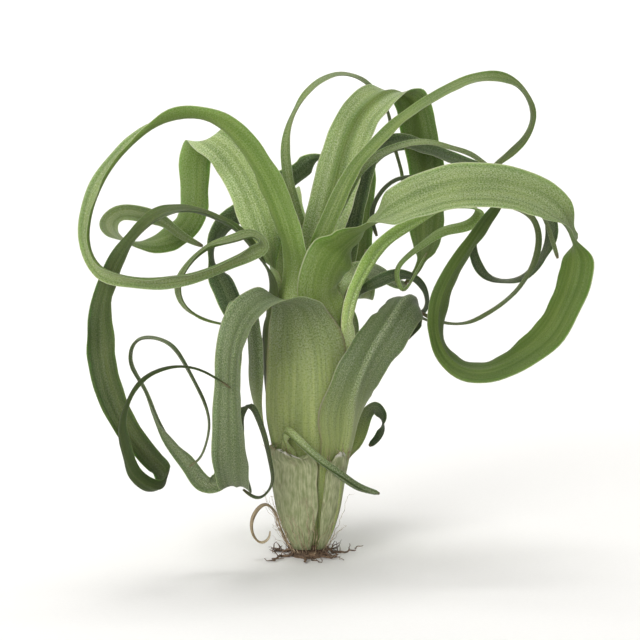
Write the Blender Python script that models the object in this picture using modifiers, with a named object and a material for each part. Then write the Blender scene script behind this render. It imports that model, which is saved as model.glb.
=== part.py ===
"""Air plant: a curly-leaved tillandsia with a bulb of overlapping sheaths, on its own foot and roots.

Every leaf is one blade. Its lower part wraps the bulb as a sheath, on a layer of its own, and its upper part
leaves the bulb, arches outward and coils. Sizes are in millimetres here and are turned into metres when the
meshes are made. The origin is the middle of the flat foot, +Z is up and -Y is the front.
"""

import math
from dataclasses import dataclass, field

import bmesh
import bpy
import numpy as np

MM = 0.001
COLLECTION_NAME = "air_plant"

# Driving sizes, in millimetres
LEAF_THICKNESS = 0.6
STEM_RADIUS = 3.0
STEM_TOP = 38.0
FOOT_RADIUS = 5.5
FOOT_HEIGHT = 1.1
LEAF_FLOOR = 2.5  # no sheath starts lower than this
STEM_CLEARANCE = 0.7  # from the stem to the middle of a sheath
LAYER_PITCH = 1.1  # from one sheath layer to the next one in
BULB_PROFILE = [
    (0, 3.6), (4, 6.2), (8, 8.2), (15, 10.2), (22, 11.3),
    (30, 12.9), (40, 15.5), (50, 17.1), (60, 17.3), (90, 17.2),
]  # height and radius of the outermost layer, 0

# How finely a leaf is worked out and how coarsely it is kept
STEP = 0.6
SETTLE = 1.6  # how soon a blade turns its flat side to its bend
SHEATH_KNOTS = 6
SHEATH_FACET = 7.0  # longest facet on the bulb and just above it
BLADE_FACET = 14.0
BULB_SHARE = 0.08  # share of the blade that still counts as the bulb
LARGEST_TURN = math.radians(30)

# Roots
ROOT_COUNT = 7
ROOT_RADIUS = 0.55
ROOT_REACH = 13.0
ROOT_SEED = 5
ROOT_POINTS = 6
STEM_SIDES = 12


@dataclass
class Leaf:
    """One leaf. Angles are in degrees; a key is a (share of the blade's length, value) pair."""

    azimuth: float  # direction of the sheath's middle round the bulb, 0 at +X
    layer: int  # 0 is the outermost
    wrap: float  # half angle that the sheath covers
    leaves_at: float  # height at which the blade leaves the bulb
    width: float  # of the blade where it starts
    points: list  # middle of the blade, from the bulb to the tip
    foot: float = 0.7  # share of the wrap at the sheath's foot
    neck: float = 0.8  # share of the wrap where the blade leaves
    tip: float = 0.8  # width at the tip
    taper: float = 0.5
    shed: float = 12.0  # length over which the sheath narrows to the blade
    shoulder: float = 1.0  # above 1 the sheath keeps its width longer, and then narrows sooner
    hugs: bool = False  # a short sheath that stays on the bulb to its tip
    settle: float = SETTLE
    swell: list = field(default_factory=lambda: [(0, 1), (1, 1)])
    channel: list = field(default_factory=lambda: [(0, 40), (1, 25)])
    roll: list = field(default_factory=lambda: [(0, 0), (1, 0)])
    segments: int = 4
    colour: str = "green"


COLOURS = {
    "green": (0.21, 0.3, 0.1),
    "silver": (0.24, 0.31, 0.18),
    "olive": (0.26, 0.34, 0.14),
    "dark": (0.07, 0.12, 0.045),
    "papery": (0.3, 0.28, 0.16),
    "dry": (0.36, 0.29, 0.17),
    "root": (0.12, 0.075, 0.045),
}
LEAF_ROUGHNESS = 0.6


LEAVES = {
    "leaf_front": Leaf(
        azimuth=-94, layer=2, wrap=64, leaves_at=57, width=14, neck=0.74, tip=1, shed=15,
        shoulder=1.5, segments=6, colour="silver",
        swell=[
            (0, 1.25), (0.12, 1.2), (0.3, 1.05), (0.5, 1.2), (0.57, 1.08), (0.68, 0.5), (0.8, 0.3),
            (1, 0.4),
        ],
        channel=[(0, 50), (0.15, 40), (0.55, 42), (0.7, 55), (1, 30)],
        points=[
            (-2.5, -16.5, 67.5), (-4, -20, 72.5), (-8, -25, 75), (-13.5, -30, 73.5),
            (-17.5, -33, 68.5), (-19.5, -34.5, 61.5), (-20, -35, 52), (-20, -34.5, 42.5),
            (-20, -32, 34), (-20, -28, 28), (-19.5, -23.5, 24.5), (-19.5, -19, 26),
            (-19.5, -18, 31.5), (-19.5, -18.5, 38), (-18, -20.5, 43.5), (-16, -22, 45.5),
            (-14, -22, 42.5), (-12, -21, 36.5), (-10.5, -20, 29.5), (-10.5, -19, 23),
            (-13.5, -18, 20), (-18, -17, 22),
        ],
    ),
    "leaf_right_front": Leaf(
        azimuth=-40, layer=1, wrap=36, leaves_at=35, width=17, neck=1, taper=0.4, shed=17,
        shoulder=1.6, settle=0.4, segments=5, colour="silver",
        swell=[(0, 1), (0.15, 0.85), (0.28, 0.85), (0.5, 1.15), (0.7, 1.3), (1, 0.8)],
        channel=[(0, 45), (0.25, 62), (0.6, 60), (1, 50)],
        roll=[(0, 0), (0.42, -75), (0.52, -70), (0.8, -20), (1, -20)],
        points=[
            (11.5, -14, 46.5), (15, -18.5, 56.5), (19, -20, 64), (23, -19, 70), (26, -14, 73.5),
            (28.5, -7, 73), (29.5, 0, 69), (28, 4, 64), (26, 7, 62.5), (23.5, 10, 64),
        ],
    ),
    "leaf_big_loop": Leaf(
        azimuth=-121, layer=5, wrap=35.5, leaves_at=68, width=9, segments=3,
        swell=[(0, 0.85), (0.1, 0.95), (1, 1)], channel=[(0, 30), (0.3, 60), (0.7, 60), (1, 40)],
        roll=[
            (0, 0), (0.2, 10), (0.28, 20), (0.36, 20), (0.46, -15), (0.59, -30), (0.72, -5),
            (0.8, -60), (0.9, -10), (1, -10),
        ],
        points=[
            (-4, -9.5, 82.5), (-5.5, -13.5, 91.5), (-9, -16, 102), (-13.5, -19, 111),
            (-18.5, -22, 118), (-24.5, -25, 122.5), (-32, -28, 124), (-40, -32, 121.5),
            (-48.5, -34, 114.5), (-54.5, -36, 106), (-57.5, -37, 96.5), (-57, -38, 89),
            (-53.5, -39, 84), (-47.5, -39, 82), (-40, -39, 81.5), (-31, -37, 82.5), (-22, -33, 85.5),
            (-15.5, -29, 88), (-12.5, -27, 90), (-14.5, -26, 92), (-18.5, -27, 91.5),
            (-25.5, -29, 89.5), (-31, -32, 85.5), (-34, -33, 80), (-33.5, -32, 75.5),
            (-30, -30, 71.5), (-24, -28, 69), (-19.5, -26, 68),
        ],
    ),
    "leaf_fold_left": Leaf(
        azimuth=-150, layer=6, wrap=38, leaves_at=68, width=12.5, neck=0.6, taper=0.6,
        swell=[(0, 0.5), (0.15, 1), (1, 1)], channel=[(0, 35), (0.3, 20), (0.6, 30), (1, 30)],
        roll=[
            (0, 0), (0.22, -175), (0.33, -180), (0.44, -150), (0.53, -175), (0.61, -255),
            (0.8, -120), (0.86, -135), (1, -135),
        ],
        points=[
            (-10, -0.5, 79.5), (-12, -3, 89.5), (-15, -6.5, 99.5), (-19, -8.5, 108.5),
            (-23, -9.5, 114), (-26.5, -7, 116.5), (-29.5, -1, 116.5), (-31.5, 3, 113),
            (-32, 4.5, 106.5), (-32, 3, 100), (-33, 0, 95), (-37, -5, 91), (-43, -9, 89),
            (-49.5, -13, 90), (-53, -18, 93), (-53, -23, 96.5), (-50, -25, 98.5), (-45, -23, 98),
            (-40, -19, 96), (-34.5, -15, 91.5), (-29, -12, 88.5),
        ],
    ),
    "leaf_long_left": Leaf(
        azimuth=-152, layer=4, wrap=30, leaves_at=65, width=8, segments=3,
        swell=[
            (0, 0.6), (0.15, 0.85), (0.3, 0.9), (0.38, 0.9), (0.52, 1.5), (0.62, 1.3), (0.7, 1),
            (1, 1),
        ],
        channel=[(0, 40), (0.5, 30), (0.7, 40), (1, 30)],
        roll=[
            (0, 0), (0.15, -10), (0.24, -5), (0.31, 5), (0.4, -35), (0.48, -95), (0.57, -100),
            (0.65, -125), (0.67, -180), (0.72, -150), (0.78, -175), (0.87, -180), (0.95, -165),
            (1, -165),
        ],
        points=[
            (-10, -9, 78), (-11.5, -11.5, 82.5), (-14.5, -14, 87), (-18.5, -16.5, 92),
            (-25, -21, 96.5), (-32, -26, 99), (-39, -30, 98), (-44.5, -31, 94), (-49.5, -31, 87.5),
            (-53.5, -29, 79), (-55.5, -27, 70.5), (-55.5, -26, 61.5), (-54, -27, 53), (-51, -28, 45),
            (-46.5, -29, 37.5), (-41.5, -30, 32), (-38.5, -33, 29), (-39, -37, 26.5),
            (-42, -41, 27.5), (-45.5, -43, 31), (-48, -43, 37.5), (-49, -42, 43.5),
            (-47.5, -41, 49.5), (-44.5, -40, 54.5), (-40, -38, 57.5), (-34, -36.5, 58.5),
            (-28.5, -36.5, 57.5), (-24.5, -37, 55.5), (-20.5, -38, 53),
        ],
    ),
    "leaf_lower_left": Leaf(
        azimuth=187, layer=1, wrap=25, leaves_at=35, width=8, neck=0.7, taper=0.45, shed=10,
        settle=0.4, colour="silver",
        swell=[(0, 1.1), (0.12, 1), (0.5, 0.85), (0.65, 0.4), (1, 0.45)],
        channel=[(0, 45), (0.2, 25), (1, 30)],
        roll=[
            (0, 0), (0.1, 30), (0.15, 30), (0.26, 10), (0.44, -10), (0.48, -40), (0.49, -75),
            (0.57, -115), (0.61, -155), (0.66, -170), (0.77, -195), (0.88, -200), (1, -200),
        ],
        points=[
            (-15, -2.5, 44), (-15.5, -4, 54.5), (-16, -5.5, 64), (-17, -8, 69.5), (-18.5, -12, 71.5),
            (-20.5, -13.5, 64), (-21.5, -14, 50.5), (-21.5, -14, 38), (-22.5, -14.5, 29),
            (-25.5, -15, 23.5), (-28.5, -16, 23.5), (-32, -16, 27.5), (-37, -17, 34),
            (-41.5, -18, 41.5), (-45, -18, 50), (-48.5, -19, 58), (-46.5, -21, 63.5),
            (-42.5, -23, 64.5), (-37.5, -25, 63), (-33, -25, 57), (-29.5, -24, 50), (-27, -23, 42),
            (-28, -22, 35), (-30, -21, 31), (-32.5, -21, 29),
        ],
    ),
    "leaf_thin_top": Leaf(
        azimuth=107, layer=7, wrap=22, leaves_at=72, width=4.2, segments=2,
        channel=[(0, 30), (1, 20)],
        roll=[
            (0, 0), (0.24, -65), (0.31, -85), (0.48, -150), (0.62, -160), (0.75, -115), (0.91, -90),
            (1, -90),
        ],
        points=[
            (-2, 10, 90), (-4.5, 11, 100), (-6, 11.5, 108.5), (-6.5, 12, 114), (-5.5, 13, 121),
            (-2.5, 14, 127.5), (2.5, 17, 133), (9, 22, 135.5), (15, 27, 134), (20, 31, 129.5),
            (23, 32.5, 124), (24, 31, 118), (25.5, 31, 112), (27, 31.5, 106.5), (27.5, 32, 102),
        ],
    ),
    "leaf_tall_centre": Leaf(
        azimuth=70, layer=8, wrap=40, leaves_at=72, width=14.5, tip=1, taper=0.45,
        swell=[
            (0, 0.8), (0.2, 1), (0.5, 1), (0.7, 1.3), (0.84, 1.6), (0.9, 1.2), (0.94, 0.4), (1, 0.3),
        ],
        channel=[(0, 40), (0.3, 25), (1, 30)],
        roll=[(0, 0), (0.26, 30), (0.39, 45), (0.63, -50), (0.76, -55), (0.88, -15), (1, -15)],
        points=[
            (3, 6.5, 86), (5.5, 7.5, 96), (8.5, 9.5, 108.5), (11.5, 12, 118.5), (14.5, 15, 124),
            (19.5, 20, 128.5), (25, 26, 130), (29.5, 31, 127.5), (32.5, 34, 118.5),
            (34.5, 35, 109.5), (35, 35, 100.5), (34.5, 33, 92.5), (34, 28, 86.5), (33, 23, 83.5),
            (31, 20, 79), (27.5, 18, 75.5),
        ],
    ),
    "leaf_arch_right": Leaf(
        azimuth=-84, layer=8, wrap=22, leaves_at=72, width=5.4, taper=0.45, segments=3,
        channel=[(0, 35), (1, 25)],
        roll=[
            (0, 0), (0.1, 145), (0.2, 145), (0.34, 160), (0.47, 210), (0.57, 215), (0.66, 195),
            (0.81, 195), (1, 195),
        ],
        points=[
            (1.5, -7, 84), (4, -8, 91.5), (7.5, -8.5, 99.5), (12.5, -7.5, 109), (19, -6, 116.5),
            (26, -4, 123), (33.5, -2, 128), (42, 1, 132.5), (50.5, 3, 134.5), (57, 5, 133),
            (61, 6, 129), (62.5, 7, 123), (60, 8, 117), (55.5, 10, 112.5), (51.5, 12, 108),
            (52, 13, 102.5), (57.5, 12, 98.5), (63.5, 9, 94), (64.5, 7, 87.5), (62.5, 6, 81),
            (58, 5, 74.5), (51, 4, 69), (42.5, 4, 65.5), (36, 4, 66.5), (31.5, 6, 68.5),
        ],
    ),
    "leaf_thin_arch": Leaf(
        azimuth=-38, layer=9, wrap=22, leaves_at=72, width=3.4, taper=0.35, segments=2,
        channel=[(0, 35), (1, 25)],
        roll=[(0, 0), (0.23, 90), (0.41, 50), (0.59, 35), (0.88, 50), (1, 50)],
        points=[
            (4.5, -3.5, 88), (8, -3.5, 97.5), (12, -3.5, 105), (16, -3, 110.5), (19.5, -2, 113),
            (25.5, -1, 115.5), (32, 0, 116.5), (39, 1, 115), (45, 2, 113), (49.5, 3, 110),
            (55, 3, 106), (60.5, 1, 101.5), (64.5, -1, 97), (67, -3, 91), (69, -4, 84.5),
        ],
    ),
    "leaf_broad_right": Leaf(
        azimuth=-50, layer=5, wrap=31, leaves_at=66, width=15.5, shed=14, colour="olive",
        swell=[(0, 1), (0.2, 1.05), (0.4, 0.95), (1, 1)],
        channel=[(0, 30), (0.2, 22), (0.4, 20), (1, 30)],
        roll=[
            (0, 0), (0.1, 65), (0.13, 120), (0.17, 160), (0.21, 200), (0.27, 225), (0.32, 240),
            (0.38, 240), (0.42, 235), (0.46, 170), (0.5, 115), (0.59, 110), (0.7, 145), (0.77, 155),
            (0.85, 140), (0.93, 150), (1, 150),
        ],
        points=[
            (4, -15, 76.5), (6, -16, 84), (10.5, -16.5, 89.5), (16.5, -18, 94.5), (24.5, -20, 99.5),
            (35, -22, 104), (46, -24, 105.5), (56.5, -26, 104), (64.5, -28, 100), (69.5, -30, 93.5),
            (71, -30, 85.5), (68.5, -29, 75.5), (64, -27, 66.5), (56, -24, 59.5), (47, -21, 55.5),
            (40, -18, 57), (36, -15, 62.5), (35.5, -12, 69), (38, -9, 77.5), (42.5, -6, 85),
            (47.5, -3, 92), (51.5, 1, 97), (55, 4, 101.5),
        ],
    ),
    "leaf_slim_right": Leaf(
        azimuth=-27, layer=4, wrap=24, leaves_at=60, width=7.4, taper=0.6, shed=9, settle=0.4,
        segments=3, channel=[(0, 30), (0.4, 60), (1, 30)],
        roll=[
            (0, 0), (0.13, 15), (0.2, 10), (0.36, 20), (0.51, 95), (0.65, 160), (0.8, 190), (1, 190),
        ],
        points=[
            (11, -10.5, 68), (12.5, -10, 74.5), (16, -8, 81.5), (21, -3, 88), (27.5, 0, 92.5),
            (34.5, 3, 96), (42.5, 6, 98.5), (47.5, 9, 97), (45.5, 12, 93.5), (40, 12.5, 92),
            (33, 9.5, 88.5), (27, 6.5, 84), (24.5, 4, 79), (26.5, 3, 75), (29, 3, 78), (33, 3, 85.5),
        ],
    ),
    "leaf_left_back": Leaf(
        azimuth=102, layer=6, wrap=26, leaves_at=68, width=12, shed=10, colour="dark",
        swell=[
            (0, 0.7), (0.2, 0.8), (0.35, 0.8), (0.48, 1), (0.65, 1.1), (0.78, 1.6), (0.9, 2),
            (0.96, 1.8), (1, 1),
        ],
        channel=[(0, 30), (0.3, 25), (1, 30)],
        roll=[
            (0, 0), (0.19, -10), (0.26, 5), (0.31, 30), (0.36, 15), (0.4, -5), (0.45, 30),
            (0.54, 70), (0.7, 65), (0.79, 25), (0.85, 65), (0.91, 75), (1, 75),
        ],
        points=[
            (0, 14.5, 82.5), (2, 17, 90.5), (5, 18.5, 97.5), (7, 20, 103.5), (7, 21.5, 109),
            (3.5, 22.5, 111.5), (-1, 22, 108.5), (-10, 17, 102.5), (-18, 12, 97), (-23.5, 8, 93),
            (-26.5, 6, 88.5), (-27, 5, 83.5), (-24, 4.5, 77), (-21.5, 4, 71), (-20, 3.5, 64.5),
            (-19.5, 3.5, 59.5),
        ],
    ),
    "leaf_dark_ring": Leaf(
        azimuth=26, layer=6, wrap=32, leaves_at=68, width=7, neck=0.6, taper=0.35, segments=3,
        colour="dark", channel=[(0, 40), (1, 25)],
        roll=[
            (0, 0), (0.13, 40), (0.32, 45), (0.48, 80), (0.65, 95), (0.71, 70), (0.77, 20),
            (0.85, 0), (0.93, 55), (1, 55),
        ],
        points=[
            (10, 6.5, 79), (11.5, 9, 89), (13.5, 12, 98.5), (16, 16, 108.5), (20, 20, 114.5),
            (26, 23.5, 116), (32, 27, 114.5), (42.5, 30, 110.5), (55.5, 31, 105.5), (66.5, 28, 99),
            (70, 24, 91), (67, 20, 83.5), (62, 18, 78), (56, 18, 76.5), (50.5, 19, 78.5),
            (48, 21, 83), (47.5, 23, 88), (49.5, 26, 93),
        ],
    ),
    "leaf_arc": Leaf(
        azimuth=20, layer=3, wrap=22, leaves_at=56, width=6, taper=0.6, segments=3, colour="dark",
        channel=[(0, 40), (1, 25)], roll=[(0, 0), (0.59, 40), (0.86, 65), (1, 65)],
        points=[
            (12, 8, 68), (14, 8, 73), (19, 8.5, 76.5), (26.5, 11.5, 78.5), (31, 13.5, 76.5),
            (33.5, 15, 72), (33, 14, 68.5), (31.5, 12, 67), (35.5, 12, 65),
        ],
    ),
    "leaf_grey_back": Leaf(
        azimuth=-5, layer=7, wrap=18, leaves_at=70, width=6.5, taper=0.3, colour="silver",
        channel=[(0, 40), (1, 25)], roll=[(0, 0), (0.57, 125), (1, 195)],
        points=[
            (10, 0, 77.5), (13, 3.5, 80), (17.5, 13, 80), (22, 20, 77.5), (26, 24, 75),
            (28.5, 25, 74.5),
        ],
    ),
    "leaf_right_low": Leaf(
        azimuth=28, layer=1, wrap=20, leaves_at=26, width=5, taper=0.4, shed=8, colour="dark",
        channel=[(0, 50), (1, 25)], roll=[(0, 0), (0.52, 95), (0.64, 150), (0.91, 310), (1, 310)],
        points=[
            (13.5, 9, 31.5), (15.5, 13, 36.5), (18, 17, 39.5), (20.5, 21, 38), (21.5, 24, 33.5),
            (20, 25, 29.5), (17.5, 23, 27.5),
        ],
    ),
    "leaf_front_small": Leaf(
        azimuth=-118, layer=1, wrap=14, leaves_at=31, width=3.6, taper=0.3, shed=4, segments=2,
        colour="silver", channel=[(0, 60), (1, 45)],
        roll=[(0, 0), (0.21, -100), (0.5, -140), (1, -190)],
        points=[
            (-6, -15.5, 37.5), (-2.5, -18, 35), (2.5, -18.5, 30.5), (8.5, -17, 26), (14, -15, 22),
            (19.5, -13, 20),
        ],
    ),
    "leaf_back_tail": Leaf(
        azimuth=62, layer=7, wrap=18, leaves_at=70, width=4.5, taper=0.4, segments=2, colour="dark",
        channel=[(0, 40), (1, 25)],
        roll=[(0, 0), (0.24, 15), (0.56, 95), (0.75, -25), (0.9, -115), (1, -115)],
        points=[
            (5, 11.5, 83.5), (8, 13.5, 91.5), (12, 17.5, 100.5), (17.5, 29, 110), (26, 39, 114.5),
            (37, 45, 113.5), (43.5, 42, 108.5), (43.5, 34, 104.5), (38, 29, 104.5), (32, 26, 106),
            (25.5, 25, 105.5), (20.5, 24, 101.5), (18, 23, 95), (19.5, 22, 89),
        ],
    ),
    "leaf_back_small": Leaf(
        azimuth=95, layer=1, wrap=26, leaves_at=25, width=5, taper=0.6, shed=8,
        channel=[(0, 50), (1, 25)],
        points=[
            (-2, 14, 33), (-3, 18, 40), (-3, 23, 43), (-2, 28, 41), (-1, 30, 35), (-2, 28, 29),
            (-4, 24, 27), (-6, 22, 30),
        ],
    ),
    "leaf_back_low": Leaf(
        azimuth=72, layer=2, wrap=46, leaves_at=40, width=11, taper=0.6,
        channel=[(0, 40), (0.3, 45), (0.5, 40), (1, 30)],
        points=[
            (6, 20, 50), (8, 27, 58), (9, 34, 60), (9, 41, 56), (8, 44, 47), (7, 43, 38),
            (5, 39, 31), (4, 34, 28), (4, 30, 31), (5, 30, 36), (6, 33, 39),
        ],
    ),
    "leaf_back_broad": Leaf(
        azimuth=92, layer=3, wrap=42, leaves_at=54, width=10.5, taper=0.55,
        channel=[(0, 40), (0.5, 40), (1, 30)],
        points=[
            (-2, 17, 64), (-3, 25, 71), (-5, 33, 72), (-7, 40, 66), (-8, 44, 56), (-8, 45, 44),
            (-8, 44, 33), (-8, 41, 23), (-6, 36, 16), (-3, 31, 14), (0, 28, 17), (1, 29, 22),
            (-1, 32, 25),
        ],
    ),
    "leaf_back_loop": Leaf(
        azimuth=100, layer=4, wrap=47, leaves_at=62, width=8, taper=0.6,
        channel=[(0, 35), (0.5, 45), (1, 30)],
        points=[
            (-2, 16, 74), (-3, 25, 86), (-5, 36, 96), (-6, 47, 101), (-6, 58, 98), (-4, 66, 88),
            (-1, 69, 76), (4, 67, 64), (8, 62, 55), (11, 56, 51), (13, 50, 56), (12, 45, 65),
            (6, 43, 70), (0, 43, 69), (-3, 47, 63),
        ],
    ),
    "leaf_back_tall": Leaf(
        azimuth=85, layer=5, wrap=57, leaves_at=68, width=12, channel=[(0, 30), (0.5, 30), (1, 30)],
        points=[
            (2, 18, 79), (4, 26, 91), (9, 35, 102), (13, 45, 109), (15, 55, 110), (16, 63, 104),
            (16, 68, 94), (16, 69, 84), (16, 67, 75), (16, 62, 69), (17, 56, 68), (18, 51, 72),
            (18, 49, 78), (17, 51, 83),
        ],
    ),
    "leaf_back_left": Leaf(
        azimuth=152, layer=7, wrap=20, leaves_at=70, width=5.5, channel=[(0, 35), (1, 25)],
        points=[
            (-8.5, 9, 80), (-9.5, 17, 90), (-11.5, 29, 98), (-13, 42, 101), (-14, 52, 97),
            (-13, 57, 88), (-11, 57, 79), (-9, 52, 71), (-7, 47, 67), (-5, 42, 70), (-5.5, 39, 76),
            (-8, 40, 80),
        ],
    ),
    "sheath_left": Leaf(
        azimuth=-117.5, layer=0, wrap=41.5, leaves_at=28.5, width=17, foot=0.8, neck=0.9, tip=7,
        taper=0.25, shed=3, hugs=True, segments=6, colour="papery", channel=[(0, 60), (1, 50)],
        points=[
            (-7, -12.5, 30.5), (-7, -13, 32),
        ],
    ),
    "sheath_right": Leaf(
        azimuth=-49, layer=0, wrap=21, leaves_at=24, width=8, foot=0.8, neck=0.85, tip=1.2, shed=3,
        hugs=True, colour="papery", channel=[(0, 45), (1, 40)],
        points=[
            (8.5, -10.5, 28.5), (9, -11.5, 31.5),
        ],
    ),
    "sheath_back": Leaf(
        azimuth=108, layer=0, wrap=52, leaves_at=15, width=13, foot=0.8, neck=0.9, tip=1.5,
        taper=0.45, shed=3, hugs=True, segments=6, colour="papery", channel=[(0, 60), (1, 50)],
        points=[
            (-3.5, 11, 19), (-3.5, 11.5, 21.5),
        ],
    ),
    "dry_curl": Leaf(
        azimuth=-170, layer=0, wrap=4, leaves_at=11, width=2.6, foot=1, neck=1, shed=3, segments=2,
        colour="dry", channel=[(0, 40), (1, 40)],
        points=[
            (-10.5, -2.5, 14), (-12, -3, 15), (-14.5, -4, 13.5), (-16, -4.5, 10), (-15.5, -4.5, 6.5),
            (-13.5, -4, 4.5), (-11.5, -3.5, 5.5), (-11, -3, 7.5),
        ],
    ),
}


def unit(vector):
    return vector / np.linalg.norm(vector)


def ease(x, low=0.0, high=1.0):
    """0 below low, 1 above high, and a smooth step between them."""
    x = np.clip((np.asarray(x, float) - low) / (high - low), 0, 1)
    return x * x * (3 - 2 * x)


def keyed(keys, x):
    """The keys' values at x, eased from one key to the next."""
    places, values = (np.array(column, float) for column in zip(*keys))
    x = np.clip(x, places[0], places[-1])
    i = np.clip(np.searchsorted(places, x, side="right") - 1, 0, len(places) - 2)
    share = ease((x - places[i]) / (places[i + 1] - places[i]))
    return values[i] + (values[i + 1] - values[i]) * share


def smooth_curve(points, step):
    """A natural cubic spline through the points, read about every step."""
    points = np.asarray(points, float)
    knots = np.concatenate([[0.0], np.cumsum(np.linalg.norm(np.diff(points, axis=0), axis=1))])
    gaps = np.diff(knots)
    count = len(points)
    system = np.eye(count)
    pull = np.zeros_like(points)
    slopes = np.diff(points, axis=0) / gaps[:, None]
    for i in range(1, count - 1):
        system[i, i - 1 : i + 2] = gaps[i - 1], 2 * (gaps[i - 1] + gaps[i]), gaps[i]
        pull[i] = 6 * (slopes[i] - slopes[i - 1])
    bends = np.linalg.solve(system, pull)
    reads = np.linspace(0, knots[-1], int(knots[-1] / step) + 2)
    i = np.clip(np.searchsorted(knots, reads) - 1, 0, count - 2)
    after = (reads - knots[i])[:, None]
    before = (knots[i + 1] - reads)[:, None]
    gap = gaps[i][:, None]
    cubic = (bends[i] * before**3 + bends[i + 1] * after**3) / (6 * gap)
    from_start = (points[i] / gap - bends[i] * gap / 6) * before
    from_end = (points[i + 1] / gap - bends[i + 1] * gap / 6) * after
    return cubic + from_start + from_end


def even_curve(points, step):
    """The smooth curve with its points evenly spaced, and each one's length along it."""
    dense = smooth_curve(points, step / 2)
    along = np.concatenate([[0.0], np.cumsum(np.linalg.norm(np.diff(dense, axis=0), axis=1))])
    reads = np.linspace(0, along[-1], max(int(along[-1] / step), 4))
    return np.stack([np.interp(reads, along, dense[:, axis]) for axis in range(3)], axis=1), reads


def layer_radius(height, layer):
    heights, radii = zip(*BULB_PROFILE)
    return np.interp(height, heights, radii) - layer * LAYER_PITCH


def sheath_foot(layer):
    """The height at which a layer is wide enough to pass round the stem."""
    heights = np.linspace(0, 60, 601)
    clear = layer_radius(heights, layer) >= STEM_RADIUS + STEM_CLEARANCE
    return max(float(heights[np.argmax(clear)]), LEAF_FLOOR)


def leaf_stations(leaf):
    """The leaf's middle line, with its cross direction, its upper side, half width and curl at each point."""
    azimuth = math.radians(leaf.azimuth)
    outward = np.array([math.cos(azimuth), math.sin(azimuth), 0.0])
    sideways = np.array([-math.sin(azimuth), math.cos(azimuth), 0.0])
    low = sheath_foot(leaf.layer)
    heights = np.linspace(low, leaf.leaves_at, SHEATH_KNOTS)
    sheath = [outward * layer_radius(z, leaf.layer) + [0, 0, z] for z in heights]
    path, along = even_curve(sheath + [np.array(point, float) for point in leaf.points], STEP)
    off_bulb = path @ outward > layer_radius(path[:, 2], leaf.layer) + STEP
    first_free = int(np.argmax(off_bulb | (path[:, 2] > leaf.leaves_at)))
    start = along[first_free]
    blade = np.clip((along - start) / (along[-1] - start), 0, 1)

    tangents = np.gradient(path, along, axis=0)
    tangents /= np.linalg.norm(tangents, axis=1)[:, None]
    turning = np.gradient(tangents, along, axis=0)
    across = np.zeros_like(path)
    across[: first_free + 1] = sideways
    for i in range(first_free + 1, len(path)):
        carried = unit(across[i - 1] - tangents[i] * (across[i - 1] @ tangents[i]))
        flat = np.cross(tangents[i], turning[i])
        carried = carried + flat * np.copysign(leaf.settle * STEP, flat @ carried)
        across[i] = unit(carried - tangents[i] * (carried @ tangents[i]))
    upper = np.cross(tangents, across)
    upper[: first_free + 1] = -outward
    roll = np.radians(keyed(leaf.roll, blade))[:, None]
    across, upper = across * np.cos(roll) + upper * np.sin(roll), upper * np.cos(roll) - across * np.sin(roll)

    radius = layer_radius(path[:, 2], leaf.layer)
    rise = np.clip((path[:, 2] - low) / (leaf.leaves_at - low), 0, 1)
    wrap = math.radians(leaf.wrap) * keyed([(0, leaf.foot), (0.5, 1), (1, leaf.neck)], rise)
    narrowing = (1 - blade) ** leaf.taper * keyed(leaf.swell, blade)
    half_blade = 0.5 * (leaf.tip + (leaf.width - leaf.tip) * narrowing)
    shedding = ease(along - start, 0, leaf.shed) ** leaf.shoulder
    opening = ease(along - start, leaf.shed, 2.5 * leaf.shed) * (not leaf.hugs)
    half = wrap * radius * (1 - shedding) + half_blade * shedding
    channel = np.radians(keyed(leaf.channel, blade))
    curl = (1 - opening) / radius + opening * channel / half_blade
    return path, across, upper, half, curl, tangents, along, blade


def kept_stations(across, tangents, along, blade):
    """The stations that a faceted leaf keeps, closer together where it bends or twists."""
    bend = np.arccos(np.clip((tangents[1:] * tangents[:-1]).sum(1), -1, 1))
    twist = np.arccos(np.clip((across[1:] * across[:-1]).sum(1), -1, 1))
    facet = np.where(blade[1:] < BULB_SHARE, SHEATH_FACET, BLADE_FACET)
    cost = np.diff(along) / facet + np.maximum(bend, twist) / LARGEST_TURN
    cost = np.concatenate([[0.0], np.cumsum(cost)])
    count = int(math.ceil(cost[-1])) + 1
    return np.unique(np.searchsorted(cost, np.linspace(0, cost[-1], count) - 1e-9))


def leaf_rows(leaf):
    """Rows of points from margin to margin, one row for each kept station."""
    path, across, upper, half, curl, tangents, along, blade = leaf_stations(leaf)
    kept = kept_stations(across, tangents, along, blade)
    turn = np.linspace(-1, 1, leaf.segments + 1)[None, :] * (half * curl)[kept, None]
    aside = (np.sin(turn) / curl[kept, None])[..., None]
    rise = ((1 - np.cos(turn)) / curl[kept, None])[..., None]
    return path[kept, None] + across[kept, None] * aside + upper[kept, None] * rise


def clear_scene():
    for thing in list(bpy.data.objects):
        bpy.data.objects.remove(thing, do_unlink=True)


def new_collection(name):
    collection = bpy.data.collections.new(name)
    bpy.context.scene.collection.children.link(collection)
    return collection


def skin(name, colour):
    """A node's own material."""
    material = bpy.data.materials.new(name + "_skin")
    material.use_nodes = True
    shader = material.node_tree.nodes["Principled BSDF"]
    shader.inputs["Base Color"].default_value = (*COLOURS[colour], 1)
    shader.inputs["Roughness"].default_value = LEAF_ROUGHNESS
    shader.inputs["Metallic"].default_value = 0.0
    return material


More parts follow.
